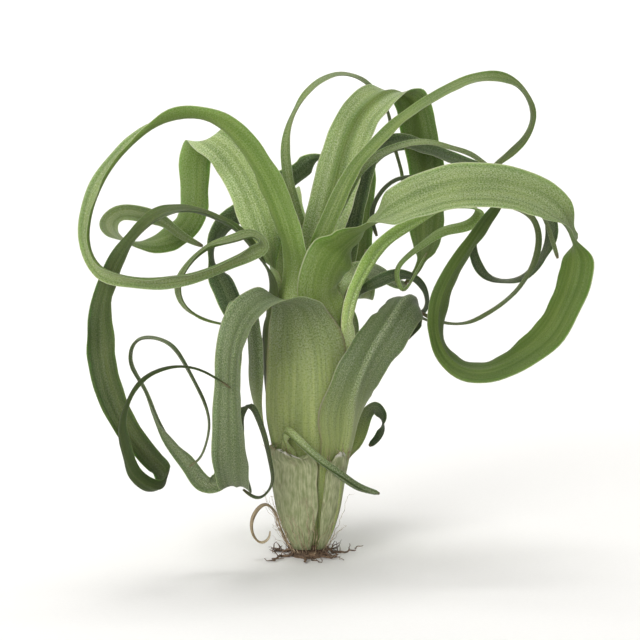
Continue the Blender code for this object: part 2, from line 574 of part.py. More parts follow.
def make_leaf(name, leaf, collection):
    """A grid laid along the leaf, split into triangles and then given its thickness."""
    rows = leaf_rows(leaf)
    row_count, row_length = rows.shape[:2]
    bm = bmesh.new()
    bmesh.ops.create_grid(bm, x_segments=row_length - 1, y_segments=row_count - 1, size=1.0)
    for vertex, place in zip(bm.verts, rows.reshape(-1, 3) * MM):
        vertex.co = place
    mesh = bpy.data.meshes.new(name)
    bm.to_mesh(mesh)
    bm.free()
    mesh.materials.append(skin(name, leaf.colour))
    blade = bpy.data.objects.new(name, mesh)
    collection.objects.link(blade)
    triangles = blade.modifiers.new("triangles", "TRIANGULATE")
    triangles.quad_method = "FIXED"
    thickness = blade.modifiers.new("thickness", "SOLIDIFY")
    thickness.thickness = LEAF_THICKNESS * MM
    thickness.offset = 0.0
    thickness.use_even_offset = True
    return blade


def evaluated_copy(source, name, collection):
    """A new object with the source's shape as its modifiers or its bevel leave it; the source is removed."""
    graph = bpy.context.evaluated_depsgraph_get()
    mesh = bpy.data.meshes.new_from_object(source.evaluated_get(graph))
    copy = bpy.data.objects.new(name, mesh)
    copy.matrix_world = source.matrix_world
    collection.objects.link(copy)
    bpy.data.objects.remove(source, do_unlink=True)
    return copy


def weld(thing):
    bm = bmesh.new()
    bm.from_mesh(thing.data)
    bmesh.ops.remove_doubles(bm, verts=bm.verts, dist=0.00001)
    bm.to_mesh(thing.data)
    bm.free()


def make_root(index, draw, collection):
    """One wiry root: out of the foot, down to the surface and along it."""
    heading = math.tau * (index + draw.uniform(-0.2, 0.2)) / ROOT_COUNT
    reach = ROOT_REACH * draw.uniform(0.75, 1.1)
    bow = draw.uniform(-0.5, 0.5)
    curve = bpy.data.curves.new("root", "CURVE")
    curve.dimensions = "3D"
    curve.bevel_depth = ROOT_RADIUS * MM
    curve.bevel_resolution = 2
    curve.use_fill_caps = True
    line = curve.splines.new("POLY")
    line.points.add(ROOT_POINTS - 1)
    for step, point in enumerate(line.points):
        share = step / (ROOT_POINTS - 1)
        distance = 2.0 + (reach - 2.0) * share
        turn = heading + bow * share * share
        height = ROOT_RADIUS + 1.0 * (1 - float(ease(share, 0.1, 0.55)))
        point.co = (distance * math.cos(turn) * MM, distance * math.sin(turn) * MM, height * MM, 1)
    root = bpy.data.objects.new("root", curve)
    collection.objects.link(root)
    root = evaluated_copy(root, "root", collection)
    weld(root)
    return root


def make_stem_and_roots(collection):
    """The hidden stem with its flat foot, and the roots joined to it."""
    profile = [
        (0, STEM_TOP), (STEM_RADIUS * 0.6, STEM_TOP - 0.6), (STEM_RADIUS, STEM_TOP - 3),
        (STEM_RADIUS, FOOT_HEIGHT + 1.2), (FOOT_RADIUS, FOOT_HEIGHT), (FOOT_RADIUS, 0), (0, 0),
    ]
    mesh = bpy.data.meshes.new("stem_and_roots")
    places = [(radius * MM, 0, height * MM) for radius, height in profile]
    mesh.from_pydata(places, [(i, i + 1) for i in range(len(places) - 1)], [])
    stem = bpy.data.objects.new("stem_profile", mesh)
    collection.objects.link(stem)
    turned = stem.modifiers.new("turned", "SCREW")
    turned.steps = STEM_SIDES
    turned.render_steps = STEM_SIDES
    turned.use_merge_vertices = True
    turned.merge_threshold = 0.00001
    stem = evaluated_copy(stem, "stem_core", collection)
    roots = new_collection("roots")
    draw = np.random.default_rng(ROOT_SEED)
    for index in range(ROOT_COUNT):
        make_root(index, draw, roots)
    union = stem.modifiers.new("roots", "BOOLEAN")
    union.operation = "UNION"
    union.operand_type = "COLLECTION"
    union.collection = roots
    union.solver = "EXACT"
    joined = evaluated_copy(stem, "stem_and_roots", collection)
    for root in list(roots.objects):
        bpy.data.objects.remove(root, do_unlink=True)
    bpy.data.collections.remove(roots)
    joined.data.materials.clear()
    joined.data.materials.append(skin("stem_and_roots", "root"))
    return joined


def main():
    clear_scene()
    collection = new_collection(COLLECTION_NAME)
    make_stem_and_roots(collection)
    for name, leaf in LEAVES.items():
        make_leaf(name, leaf, collection)


main()
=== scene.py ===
"""The looks of a curly-leaved air plant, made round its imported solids.

Every leaf is made again as one fine blade on the same middle line, thin at its margins, with shallow
ribs, a slow wave along its edges, veins, silvery scales and a dried tip. The lowest sheaths are papery and
torn, and wiry roots and dry fibres come out of the foot. Sizes are in millimetres and are turned into
metres when the meshes are made. The origin is the middle of the flat foot, +Z is up and -Y is the front.
"""

import math
from dataclasses import dataclass, field

import bpy
import numpy as np
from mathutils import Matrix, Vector


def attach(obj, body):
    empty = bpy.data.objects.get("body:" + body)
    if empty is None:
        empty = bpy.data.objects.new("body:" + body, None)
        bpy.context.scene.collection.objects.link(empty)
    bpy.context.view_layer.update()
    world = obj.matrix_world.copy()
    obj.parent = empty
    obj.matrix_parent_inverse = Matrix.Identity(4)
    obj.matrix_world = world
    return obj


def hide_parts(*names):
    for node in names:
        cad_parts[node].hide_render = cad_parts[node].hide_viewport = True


MM = 0.001

# The bulb that the sheaths wrap
STEM_RADIUS = 3.0
LEAF_FLOOR = 2.5  # no sheath starts lower
STEM_CLEARANCE = 0.7
LAYER_PITCH = 1.1
BULB_PROFILE = [
    (0, 3.6), (4, 6.2), (8, 8.2), (15, 10.2), (22, 11.3), (30, 12.9), (40, 15.5), (50, 17.1), (60, 17.3),
    (90, 17.2),
]  # height and radius of the outermost layer, 0
BULB_HEIGHTS = np.linspace(0, 60, 601)  # where a layer's foot is looked for
SHEATH_KNOTS = 6  # points of a leaf's middle line on the bulb

# The stem and its foot
STEM_TOP = 38.0
FOOT_RADIUS = 5.5
FOOT_HEIGHT = 1.1
STEM_PROFILE = [
    (0.01, 0), (FOOT_RADIUS, 0), (FOOT_RADIUS, FOOT_HEIGHT), (STEM_RADIUS, FOOT_HEIGHT + 1.2),
    (STEM_RADIUS, STEM_TOP - 3), (STEM_RADIUS * 0.6, STEM_TOP - 0.6), (0.01, STEM_TOP),
]  # radius and height
STEM_ROWS = 31
STEM_COLUMNS = 40
KNOB_DEPTH = 0.10  # share of the radius

# The roots and the dry fibres
ROOT_COUNT = 7
ROOT_RADIUS = 0.55
ROOT_REACH = 13.0
ROOT_START = 2.0
ROOT_DROP = 1.0  # how far a strong root comes down to the surface
ROOT_SEED = 5
FINE_ROOT_COUNT = 16
FIBRE_COUNT = 34
FIBRE_SIDE = math.radians(-125)  # most of the fibres are left on this side
SHRED_COUNT = 14  # threads on the torn edge of each short sheath
LINE_POINTS = 14
FINE_ROOT_POINTS = 12
SHRED_POINTS = 8
STRANDS = {
    # piece: look, slot, radius and wander of its strands, their sprouts and how far these reach, and seed
    "wiry_roots": ("root_fibre", "root_fibre", ROOT_RADIUS, 0.9, 7, 3.2, 1),
    "fine_roots": ("root_fibre", "root_fibre", 0.24, 1.3, 4, 3.2, 2),
    "dry_fibres": ("dry_fibre", "dry_leaf", 0.09, 0.5, 2, 1.6, 3),
}
STRAND_STEP = 0.6
STRAND_TAPER = 0.65  # share of the radius that is gone at a strand's end
STRAND_SIDES = 7
WANDER_SCALE = 420.0
WANDER_GAIN = 4.0  # the noise keeps within about a quarter either way
SPROUT_POINTS = 8
SPROUT_SIDES = 4
SPROUT_RADIUS = 0.4  # share of its strand's
SPROUT_WANDER = 0.7
SPROUT_TURNS = ((0.9, -0.6, 0.0), (1.9, 0.6, math.tau))  # the least and the most, about X, Y and Z
SPROUT_SIZES = (0.35, 1.0)

# A leaf's middle line and its rows
STEP = 0.6
SETTLE = 1.6  # how soon a blade turns its flat side to its bend
FACET = 1.7  # longest facet
LARGEST_TURN = math.radians(5)
ACROSS = 30  # facets from margin to margin
HUGGING_ACROSS = 90  # and on a short sheath, for its tears
OPENED = 2.5  # the blade has its own channel this many times its shed length from its start

# A leaf's section and relief
THICKNESS = 0.6
MARGIN_THICKNESS = 0.14
LARGEST_SHARE = 0.45  # of the width, where the leaf is narrow
LENS_POWER = 1.6
RIB_HEIGHT = 0.028
RIB_SPACING = 1.15
WAVE_HEIGHT = 0.28
WAVE_LENGTH = 13.0
WAVING_HALF = 4  # the half width from which a margin waves in full
WAVING_FROM = (0.04, 0.2)  # shares of the blade over which the waves begin
WIDTH_DRIFT = 0.035
DRIFT_LENGTH = WAVE_LENGTH * 1.6
LEAF_SEED = 20
TEAR_COUNT = 34
LARGEST_TEAR = 0.12  # share of a short sheath's length
CREASE_WIDTH = 0.17  # share of the half width
CREASE_END = 0.12  # share of the blade over which a crease begins or ends
CREASE_PAINTED_LIGHT = 0.3  # how much lighter the painted highlight makes a crease of strength 1; a negative strength paints shade instead
CREASES = {
    # leaf: rise towards its upper side, place across, the shares of the blade at its ends, and the
    # strength of the painted light along the crease, a painted highlight above 0 and painted shade below 0
    "leaf_right_front": (-1.4, 0.05, -0.1, 0.8, 0.75),
    "leaf_tall_centre": (0.9, 0.1, 0.0, 0.8, -0.7),
    "leaf_front_small": (-0.5, 0.0, 0.0, 0.95, -1.4),
    "leaf_front": (0.5, 0.0, 0.2, 0.9, 0.15),
    "leaf_slim_right": (0.8, 0.0, 0.0, 0.6, 0.5),
    "leaf_broad_right": (-0.35, -0.15, 0.1, 1.0, 0.15),
    "leaf_long_left": (-0.4, 0.0, 0.2, 0.8, 0.4),
    "leaf_lower_left": (-0.5, 0.0, 0.1, 0.8, 0.4),
}

# The colours of the living and the dried parts
SCALE_COLOUR = (0.44, 0.485, 0.31)  # the silvery scales
MARGIN_COLOUR = (0.38, 0.40, 0.27)
NECK_SHADE_COLOUR = (0.205, 0.145, 0.085)  # painted reddish shade on the margins where a blade leaves its sheath, down between the crowded leaves
RUST_COLOUR = (0.15, 0.115, 0.065)  # dried tips and edges
FRAYED_COLOUR = (0.60, 0.585, 0.50)  # the torn top of an old sheath
BULB_HIGH = (0.19, 0.27, 0.048)  # a living sheath near its blade
BULB_LOW = (0.39, 0.46, 0.14)  # and near the foot
LEAF_LOOKS = {
    # slot: deep green, light green, how much silver, and the share of it that the lower side has
    "leaf_green": ((0.070, 0.130, 0.010), (0.200, 0.270, 0.050), 0.54, 0.38),
    "leaf_silver": ((0.060, 0.100, 0.020), (0.125, 0.180, 0.055), 0.50, 0.95),
    "leaf_olive": ((0.064, 0.120, 0.007), (0.190, 0.260, 0.048), 0.60, 0.20),
    # leaf_shaded is painted shade: a darker copy of the greens for leaves that lie in shadow behind the
    # others.
    "leaf_shaded": ((0.018, 0.042, 0.007), (0.065, 0.100, 0.025), 0.30, 0.60),
}
PAPERY_LOOKS = {
    # slot: dark and light, and how bleached its end is
    "old_sheath": ((0.17, 0.20, 0.08), (0.35, 0.36, 0.21), 0.9),
    "dry_leaf": ((0.20, 0.14, 0.07), (0.44, 0.36, 0.22), 0.2),
}
FIBRE_LOOKS = {
    "root_fibre": ((0.055, 0.032, 0.020), (0.20, 0.13, 0.075)),
    "dry_fibre": ((0.17, 0.10, 0.05), (0.46, 0.37, 0.24)),
}
LEAF_TONES_AND_PAINTED_LIGHT = {
    # leaf: how light it is and how silvery, against the others of its kind; the lightness is partly the
    # leaf's own tone and partly painted light, values below 1 painting shade on leaves that lie in shadow
    # and values above 1 painting light that lifts leaves lying in the shade of others
    "leaf_long_left": (0.36, 0.55), "leaf_left_back": (1.7, 1.7), "leaf_right_front": (0.64, 1.0),
    "leaf_front": (0.69, 1.2), "leaf_fold_left": (1.2, 1.4), "leaf_tall_centre": (1.05, 1.25),
    "leaf_slim_right": (1.75, 1.8), "leaf_big_loop": (1.04, 1.2), "leaf_arch_right": (0.78, 0.6),
    "leaf_grey_back": (1.3, 1.6), "leaf_front_small": (1.0, 1.5), "leaf_lower_left": (0.82, 1.2),
    "leaf_broad_right": (0.84, 1.05), "leaf_thin_arch": (0.85, 1.2), "leaf_thin_top": (0.9, 1.2),
}

# Camera, light and floor, in metres
CAMERA_TARGET = (0.00308, 0.0, 0.06693)
CAMERA_DISTANCE = 0.6
CAMERA_RISE = math.radians(6)
LENS = 120.5
SENSOR = 36.0
LIT_POINT = (0.0, 0.0, 0.07)
LIGHTS = {
    # light: place, diameter, power and the point it is turned to
    "window": ((-0.42, -0.85, 0.5), 0.5, 7.0, LIT_POINT),
    "top": ((-0.1, 0.1, 1.0), 0.6, 3.0, LIT_POINT),
    "front": ((0.05, -1.1, 0.16), 0.5, 3.6, LIT_POINT),
    "backdrop": ((0.0, 0.3, 0.9), 0.6, 6.0, (0.0, 1.0, 0.35)),
}
WORLD_STRENGTH = 0.40
FLOOR_COLOURS = ((0.80, 0.79, 0.77), (0.84, 0.83, 0.81))
FLOOR_HALF_WIDTH = 3.0
FLOOR_FRONT = -1.2
FLOOR_BACK = 0.7
FLOOR_BEND = 0.35
FLOOR_BEND_STEPS = 12
WALL_TOP = 1.4


@dataclass
class Leaf:
    """One leaf. Angles are in degrees; a key is a (share of the blade's length, value) pair."""

    azimuth: float  # direction of the sheath's middle round the bulb, 0 at +X
    layer: int  # 0 is the outermost
    wrap: float  # half angle that the sheath covers
    leaves_at: float  # height at which the blade leaves the bulb
    width: float  # of the blade where it starts
    points: list  # middle of the blade, from the bulb to the tip
    foot: float = 0.7  # share of the wrap at the sheath's foot
    neck: float = 0.8  # share of the wrap where the blade leaves
    tip: float = 0.8  # width at the tip
    taper: float = 0.5
    shed: float = 12.0  # length over which the sheath narrows to the blade
    shoulder: float = 1.0  # above 1 the sheath keeps its width longer, and then narrows sooner
    hugs: bool = False  # a short sheath that stays on the bulb to its tip
    settle: float = SETTLE
    swell: list = field(default_factory=lambda: [(0, 1), (1, 1)])
    channel: list = field(default_factory=lambda: [(0, 40), (1, 25)])
    roll: list = field(default_factory=lambda: [(0, 0), (1, 0)])
    slot: str = "leaf_green"


LEAVES = {
    "leaf_front": Leaf(
        azimuth=-94, layer=2, wrap=64, leaves_at=57, width=14, neck=0.74, tip=1, shed=15, shoulder=1.5,
        slot="leaf_silver",
        swell=[
            (0, 1.25), (0.12, 1.2), (0.3, 1.05), (0.5, 1.2), (0.57, 1.08), (0.68, 0.5), (0.8, 0.3),
            (1, 0.4),
        ],
        channel=[(0, 50), (0.15, 40), (0.55, 42), (0.7, 55), (1, 30)],
        points=[
            (-2.5, -16.5, 67.5), (-4, -20, 72.5), (-8, -25, 75), (-13.5, -30, 73.5), (-17.5, -33, 68.5),
            (-19.5, -34.5, 61.5), (-20, -35, 52), (-20, -34.5, 42.5), (-20, -32, 34), (-20, -28, 28),
            (-19.5, -23.5, 24.5), (-19.5, -19, 26), (-19.5, -18, 31.5), (-19.5, -18.5, 38),
            (-18, -20.5, 43.5), (-16, -22, 45.5), (-14, -22, 42.5), (-12, -21, 36.5), (-10.5, -20, 29.5),
            (-10.5, -19, 23), (-13.5, -18, 20), (-18, -17, 22),
        ],
    ),
    "leaf_right_front": Leaf(
        azimuth=-40, layer=1, wrap=36, leaves_at=35, width=17, neck=1, taper=0.4, shed=17, shoulder=1.6,
        settle=0.4, slot="leaf_silver",
        swell=[(0, 1), (0.15, 0.85), (0.28, 0.85), (0.5, 1.15), (0.7, 1.3), (1, 0.8)],
        channel=[(0, 45), (0.25, 62), (0.6, 60), (1, 50)],
        roll=[(0, 0), (0.42, -75), (0.52, -70), (0.8, -20), (1, -20)],
        points=[
            (11.5, -14, 46.5), (15, -18.5, 56.5), (19, -20, 64), (23, -19, 70), (26, -14, 73.5),
            (28.5, -7, 73), (29.5, 0, 69), (28, 4, 64), (26, 7, 62.5), (23.5, 10, 64),
        ],
    ),
    "leaf_big_loop": Leaf(
        azimuth=-121, layer=5, wrap=35.5, leaves_at=68, width=9, swell=[(0, 0.85), (0.1, 0.95), (1, 1)],
        channel=[(0, 30), (0.3, 60), (0.7, 60), (1, 40)],
        roll=[
            (0, 0), (0.2, 10), (0.28, 20), (0.36, 20), (0.46, -15), (0.59, -30), (0.72, -5), (0.8, -60),
            (0.9, -10), (1, -10),
        ],
        points=[
            (-4, -9.5, 82.5), (-5.5, -13.5, 91.5), (-9, -16, 102), (-13.5, -19, 111), (-18.5, -22, 118),
            (-24.5, -25, 122.5), (-32, -28, 124), (-40, -32, 121.5), (-48.5, -34, 114.5),
            (-54.5, -36, 106), (-57.5, -37, 96.5), (-57, -38, 89), (-53.5, -39, 84), (-47.5, -39, 82),
            (-40, -39, 81.5), (-31, -37, 82.5), (-22, -33, 85.5), (-15.5, -29, 88), (-12.5, -27, 90),
            (-14.5, -26, 92), (-18.5, -27, 91.5), (-25.5, -29, 89.5), (-31, -32, 85.5), (-34, -33, 80),
            (-33.5, -32, 75.5), (-30, -30, 71.5), (-24, -28, 69), (-19.5, -26, 68),
        ],
    ),
    "leaf_fold_left": Leaf(
        azimuth=-150, layer=6, wrap=38, leaves_at=68, width=12.5, neck=0.6, taper=0.6,
        swell=[(0, 0.5), (0.15, 1), (1, 1)], channel=[(0, 35), (0.3, 20), (0.6, 30), (1, 30)],
        roll=[
            (0, 0), (0.22, -175), (0.33, -180), (0.44, -150), (0.53, -175), (0.61, -255), (0.8, -120),
            (0.86, -135), (1, -135),
        ],
        points=[
            (-10, -0.5, 79.5), (-12, -3, 89.5), (-15, -6.5, 99.5), (-19, -8.5, 108.5), (-23, -9.5, 114),
            (-26.5, -7, 116.5), (-29.5, -1, 116.5), (-31.5, 3, 113), (-32, 4.5, 106.5), (-32, 3, 100),
            (-33, 0, 95), (-37, -5, 91), (-43, -9, 89), (-49.5, -13, 90), (-53, -18, 93), (-53, -23, 96.5),
            (-50, -25, 98.5), (-45, -23, 98), (-40, -19, 96), (-34.5, -15, 91.5), (-29, -12, 88.5),
        ],
    ),
    "leaf_long_left": Leaf(
        azimuth=-152, layer=4, wrap=30, leaves_at=65, width=8,
        swell=[
            (0, 0.6), (0.15, 0.85), (0.3, 0.9), (0.38, 0.9), (0.52, 1.5), (0.62, 1.3), (0.7, 1), (1, 1),
        ],
        channel=[(0, 40), (0.5, 30), (0.7, 40), (1, 30)],
        roll=[
            (0, 0), (0.15, -10), (0.24, -5), (0.31, 5), (0.4, -35), (0.48, -95), (0.57, -100),
            (0.65, -125), (0.67, -180), (0.72, -150), (0.78, -175), (0.87, -180), (0.95, -165), (1, -165),
        ],
        points=[
            (-10, -9, 78), (-11.5, -11.5, 82.5), (-14.5, -14, 87), (-18.5, -16.5, 92), (-25, -21, 96.5),
            (-32, -26, 99), (-39, -30, 98), (-44.5, -31, 94), (-49.5, -31, 87.5), (-53.5, -29, 79),
            (-55.5, -27, 70.5), (-55.5, -26, 61.5), (-54, -27, 53), (-51, -28, 45), (-46.5, -29, 37.5),
            (-41.5, -30, 32), (-38.5, -33, 29), (-39, -37, 26.5), (-42, -41, 27.5), (-45.5, -43, 31),
            (-48, -43, 37.5), (-49, -42, 43.5), (-47.5, -41, 49.5), (-44.5, -40, 54.5), (-40, -38, 57.5),
            (-34, -36.5, 58.5), (-28.5, -36.5, 57.5), (-24.5, -37, 55.5), (-20.5, -38, 53),
        ],
    ),
    "leaf_lower_left": Leaf(
        azimuth=187, layer=1, wrap=25, leaves_at=35, width=8, neck=0.7, taper=0.45, shed=10, settle=0.4,
        slot="leaf_silver", swell=[(0, 1.1), (0.12, 1), (0.5, 0.85), (0.65, 0.4), (1, 0.45)],
        channel=[(0, 45), (0.2, 25), (1, 30)],
        roll=[
            (0, 0), (0.1, 30), (0.15, 30), (0.26, 10), (0.44, -10), (0.48, -40), (0.49, -75), (0.57, -115),
            (0.61, -155), (0.66, -170), (0.77, -195), (0.88, -200), (1, -200),
        ],
        points=[
            (-15, -2.5, 44), (-15.5, -4, 54.5), (-16, -5.5, 64), (-17, -8, 69.5), (-18.5, -12, 71.5),
            (-20.5, -13.5, 64), (-21.5, -14, 50.5), (-21.5, -14, 38), (-22.5, -14.5, 29),
            (-25.5, -15, 23.5), (-28.5, -16, 23.5), (-32, -16, 27.5), (-37, -17, 34), (-41.5, -18, 41.5),
            (-45, -18, 50), (-48.5, -19, 58), (-46.5, -21, 63.5), (-42.5, -23, 64.5), (-37.5, -25, 63),
            (-33, -25, 57), (-29.5, -24, 50), (-27, -23, 42), (-28, -22, 35), (-30, -21, 31),
            (-32.5, -21, 29),
        ],
    ),
    "leaf_thin_top": Leaf(
        azimuth=107, layer=7, wrap=22, leaves_at=72, width=4.2, channel=[(0, 30), (1, 20)],
        roll=[
            (0, 0), (0.24, -65), (0.31, -85), (0.48, -150), (0.62, -160), (0.75, -115), (0.91, -90),
            (1, -90),
        ],
        points=[
            (-2, 10, 90), (-4.5, 11, 100), (-6, 11.5, 108.5), (-6.5, 12, 114), (-5.5, 13, 121),
            (-2.5, 14, 127.5), (2.5, 17, 133), (9, 22, 135.5), (15, 27, 134), (20, 31, 129.5),
            (23, 32.5, 124), (24, 31, 118), (25.5, 31, 112), (27, 31.5, 106.5), (27.5, 32, 102),
        ],
    ),
    "leaf_tall_centre": Leaf(
        azimuth=70, layer=8, wrap=40, leaves_at=72, width=14.5, tip=1, taper=0.45,
        swell=[(0, 0.8), (0.2, 1), (0.5, 1), (0.7, 1.3), (0.84, 1.6), (0.9, 1.2), (0.94, 0.4), (1, 0.3)],
        channel=[(0, 40), (0.3, 25), (1, 30)],
        roll=[(0, 0), (0.26, 30), (0.39, 45), (0.63, -50), (0.76, -55), (0.88, -15), (1, -15)],
        points=[
            (3, 6.5, 86), (5.5, 7.5, 96), (8.5, 9.5, 108.5), (11.5, 12, 118.5), (14.5, 15, 124),
            (19.5, 20, 128.5), (25, 26, 130), (29.5, 31, 127.5), (32.5, 34, 118.5), (34.5, 35, 109.5),
            (35, 35, 100.5), (34.5, 33, 92.5), (34, 28, 86.5), (33, 23, 83.5), (31, 20, 79),
            (27.5, 18, 75.5),
        ],
    ),
    "leaf_arch_right": Leaf(
        azimuth=-84, layer=8, wrap=22, leaves_at=72, width=5.4, taper=0.45, channel=[(0, 35), (1, 25)],
        roll=[
            (0, 0), (0.1, 145), (0.2, 145), (0.34, 160), (0.47, 210), (0.57, 215), (0.66, 195),
            (0.81, 195), (1, 195),
        ],
        points=[
            (1.5, -7, 84), (4, -8, 91.5), (7.5, -8.5, 99.5), (12.5, -7.5, 109), (19, -6, 116.5),
            (26, -4, 123), (33.5, -2, 128), (42, 1, 132.5), (50.5, 3, 134.5), (57, 5, 133), (61, 6, 129),
            (62.5, 7, 123), (60, 8, 117), (55.5, 10, 112.5), (51.5, 12, 108), (52, 13, 102.5),
            (57.5, 12, 98.5), (63.5, 9, 94), (64.5, 7, 87.5), (62.5, 6, 81), (58, 5, 74.5), (51, 4, 69),
            (42.5, 4, 65.5), (36, 4, 66.5), (31.5, 6, 68.5),
        ],
    ),
    "leaf_thin_arch": Leaf(
        azimuth=-38, layer=9, wrap=22, leaves_at=72, width=3.4, taper=0.35, channel=[(0, 35), (1, 25)],
        roll=[(0, 0), (0.23, 90), (0.41, 50), (0.59, 35), (0.88, 50), (1, 50)],
        points=[
            (4.5, -3.5, 88), (8, -3.5, 97.5), (12, -3.5, 105), (16, -3, 110.5), (19.5, -2, 113),
            (25.5, -1, 115.5), (32, 0, 116.5), (39, 1, 115), (45, 2, 113), (49.5, 3, 110), (55, 3, 106),
            (60.5, 1, 101.5), (64.5, -1, 97), (67, -3, 91), (69, -4, 84.5),
        ],
    ),
    "leaf_broad_right": Leaf(
        azimuth=-50, layer=5, wrap=31, leaves_at=66, width=15.5, shed=14, slot="leaf_olive",
        swell=[(0, 1), (0.2, 1.05), (0.4, 0.95), (1, 1)], channel=[(0, 30), (0.2, 22), (0.4, 20), (1, 30)],
        roll=[
            (0, 0), (0.1, 65), (0.13, 120), (0.17, 160), (0.21, 200), (0.27, 225), (0.32, 240),
            (0.38, 240), (0.42, 235), (0.46, 170), (0.5, 115), (0.59, 110), (0.7, 145), (0.77, 155),
            (0.85, 140), (0.93, 150), (1, 150),
        ],
        points=[
            (4, -15, 76.5), (6, -16, 84), (10.5, -16.5, 89.5), (16.5, -18, 94.5), (24.5, -20, 99.5),
            (35, -22, 104), (46, -24, 105.5), (56.5, -26, 104), (64.5, -28, 100), (69.5, -30, 93.5),
            (71, -30, 85.5), (68.5, -29, 75.5), (64, -27, 66.5), (56, -24, 59.5), (47, -21, 55.5),
            (40, -18, 57), (36, -15, 62.5), (35.5, -12, 69), (38, -9, 77.5), (42.5, -6, 85),
            (47.5, -3, 92), (51.5, 1, 97), (55, 4, 101.5),
        ],
    ),
    "leaf_slim_right": Leaf(
        azimuth=-27, layer=4, wrap=24, leaves_at=60, width=7.4, taper=0.6, shed=9, settle=0.4,
        channel=[(0, 30), (0.4, 60), (1, 30)],
        roll=[(0, 0), (0.13, 15), (0.2, 10), (0.36, 20), (0.51, 95), (0.65, 160), (0.8, 190), (1, 190)],
        points=[
            (11, -10.5, 68), (12.5, -10, 74.5), (16, -8, 81.5), (21, -3, 88), (27.5, 0, 92.5),
            (34.5, 3, 96), (42.5, 6, 98.5), (47.5, 9, 97), (45.5, 12, 93.5), (40, 12.5, 92),
            (33, 9.5, 88.5), (27, 6.5, 84), (24.5, 4, 79), (26.5, 3, 75), (29, 3, 78), (33, 3, 85.5),
        ],
    ),
    "leaf_left_back": Leaf(
        azimuth=102, layer=6, wrap=26, leaves_at=68, width=12, shed=10, slot="leaf_shaded",
        swell=[
            (0, 0.7), (0.2, 0.8), (0.35, 0.8), (0.48, 1), (0.65, 1.1), (0.78, 1.6), (0.9, 2), (0.96, 1.8),
            (1, 1),
        ],
        channel=[(0, 30), (0.3, 25), (1, 30)],
        roll=[
            (0, 0), (0.19, -10), (0.26, 5), (0.31, 30), (0.36, 15), (0.4, -5), (0.45, 30), (0.54, 70),
            (0.7, 65), (0.79, 25), (0.85, 65), (0.91, 75), (1, 75),
        ],
        points=[
            (0, 14.5, 82.5), (2, 17, 90.5), (5, 18.5, 97.5), (7, 20, 103.5), (7, 21.5, 109),
            (3.5, 22.5, 111.5), (-1, 22, 108.5), (-10, 17, 102.5), (-18, 12, 97), (-23.5, 8, 93),
            (-26.5, 6, 88.5), (-27, 5, 83.5), (-24, 4.5, 77), (-21.5, 4, 71), (-20, 3.5, 64.5),
            (-19.5, 3.5, 59.5),
        ],
    ),
    "leaf_dark_ring": Leaf(
        azimuth=26, layer=6, wrap=32, leaves_at=68, width=7, neck=0.6, taper=0.35, slot="leaf_shaded",
        roll=[
            (0, 0), (0.13, 40), (0.32, 45), (0.48, 80), (0.65, 95), (0.71, 70), (0.77, 20), (0.85, 0),
            (0.93, 55), (1, 55),
        ],
        points=[
            (10, 6.5, 79), (11.5, 9, 89), (13.5, 12, 98.5), (16, 16, 108.5), (20, 20, 114.5),
            (26, 23.5, 116), (32, 27, 114.5), (42.5, 30, 110.5), (55.5, 31, 105.5), (66.5, 28, 99),
            (70, 24, 91), (67, 20, 83.5), (62, 18, 78), (56, 18, 76.5), (50.5, 19, 78.5), (48, 21, 83),
            (47.5, 23, 88), (49.5, 26, 93),
        ],
    ),
    "leaf_arc": Leaf(
        azimuth=20, layer=3, wrap=22, leaves_at=56, width=6, taper=0.6, slot="leaf_shaded",
        roll=[(0, 0), (0.59, 40), (0.86, 65), (1, 65)],
        points=[
            (12, 8, 68), (14, 8, 73), (19, 8.5, 76.5), (26.5, 11.5, 78.5), (31, 13.5, 76.5),
            (33.5, 15, 72), (33, 14, 68.5), (31.5, 12, 67), (35.5, 12, 65),
        ],
    ),
    "leaf_grey_back": Leaf(
        azimuth=-5, layer=7, wrap=18, leaves_at=70, width=6.5, taper=0.3, slot="leaf_silver",
        roll=[(0, 0), (0.57, 125), (1, 195)],
        points=[
            (10, 0, 77.5), (13, 3.5, 80), (17.5, 13, 80), (22, 20, 77.5), (26, 24, 75), (28.5, 25, 74.5),
        ],
    ),
    "leaf_right_low": Leaf(
        azimuth=28, layer=1, wrap=20, leaves_at=26, width=5, taper=0.4, shed=8, slot="leaf_shaded",
        channel=[(0, 50), (1, 25)], roll=[(0, 0), (0.52, 95), (0.64, 150), (0.91, 310), (1, 310)],
        points=[
            (13.5, 9, 31.5), (15.5, 13, 36.5), (18, 17, 39.5), (20.5, 21, 38), (21.5, 24, 33.5),
            (20, 25, 29.5), (17.5, 23, 27.5),
        ],
    ),
    "leaf_front_small": Leaf(
        azimuth=-118, layer=1, wrap=14, leaves_at=31, width=3.6, taper=0.3, shed=4, slot="leaf_silver",
        channel=[(0, 60), (1, 45)], roll=[(0, 0), (0.21, -100), (0.5, -140), (1, -190)],
        points=[
            (-6, -15.5, 37.5), (-2.5, -18, 35), (2.5, -18.5, 30.5), (8.5, -17, 26), (14, -15, 22),
            (19.5, -13, 20),
        ],
    ),
    "leaf_back_tail": Leaf(
        azimuth=62, layer=7, wrap=18, leaves_at=70, width=4.5, taper=0.4, slot="leaf_shaded",
        roll=[(0, 0), (0.24, 15), (0.56, 95), (0.75, -25), (0.9, -115), (1, -115)],
        points=[
            (5, 11.5, 83.5), (8, 13.5, 91.5), (12, 17.5, 100.5), (17.5, 29, 110), (26, 39, 114.5),
            (37, 45, 113.5), (43.5, 42, 108.5), (43.5, 34, 104.5), (38, 29, 104.5), (32, 26, 106),
            (25.5, 25, 105.5), (20.5, 24, 101.5), (18, 23, 95), (19.5, 22, 89),
        ],
    ),
    "leaf_back_small": Leaf(
        azimuth=95, layer=1, wrap=26, leaves_at=25, width=5, taper=0.6, shed=8, channel=[(0, 50), (1, 25)],
        points=[
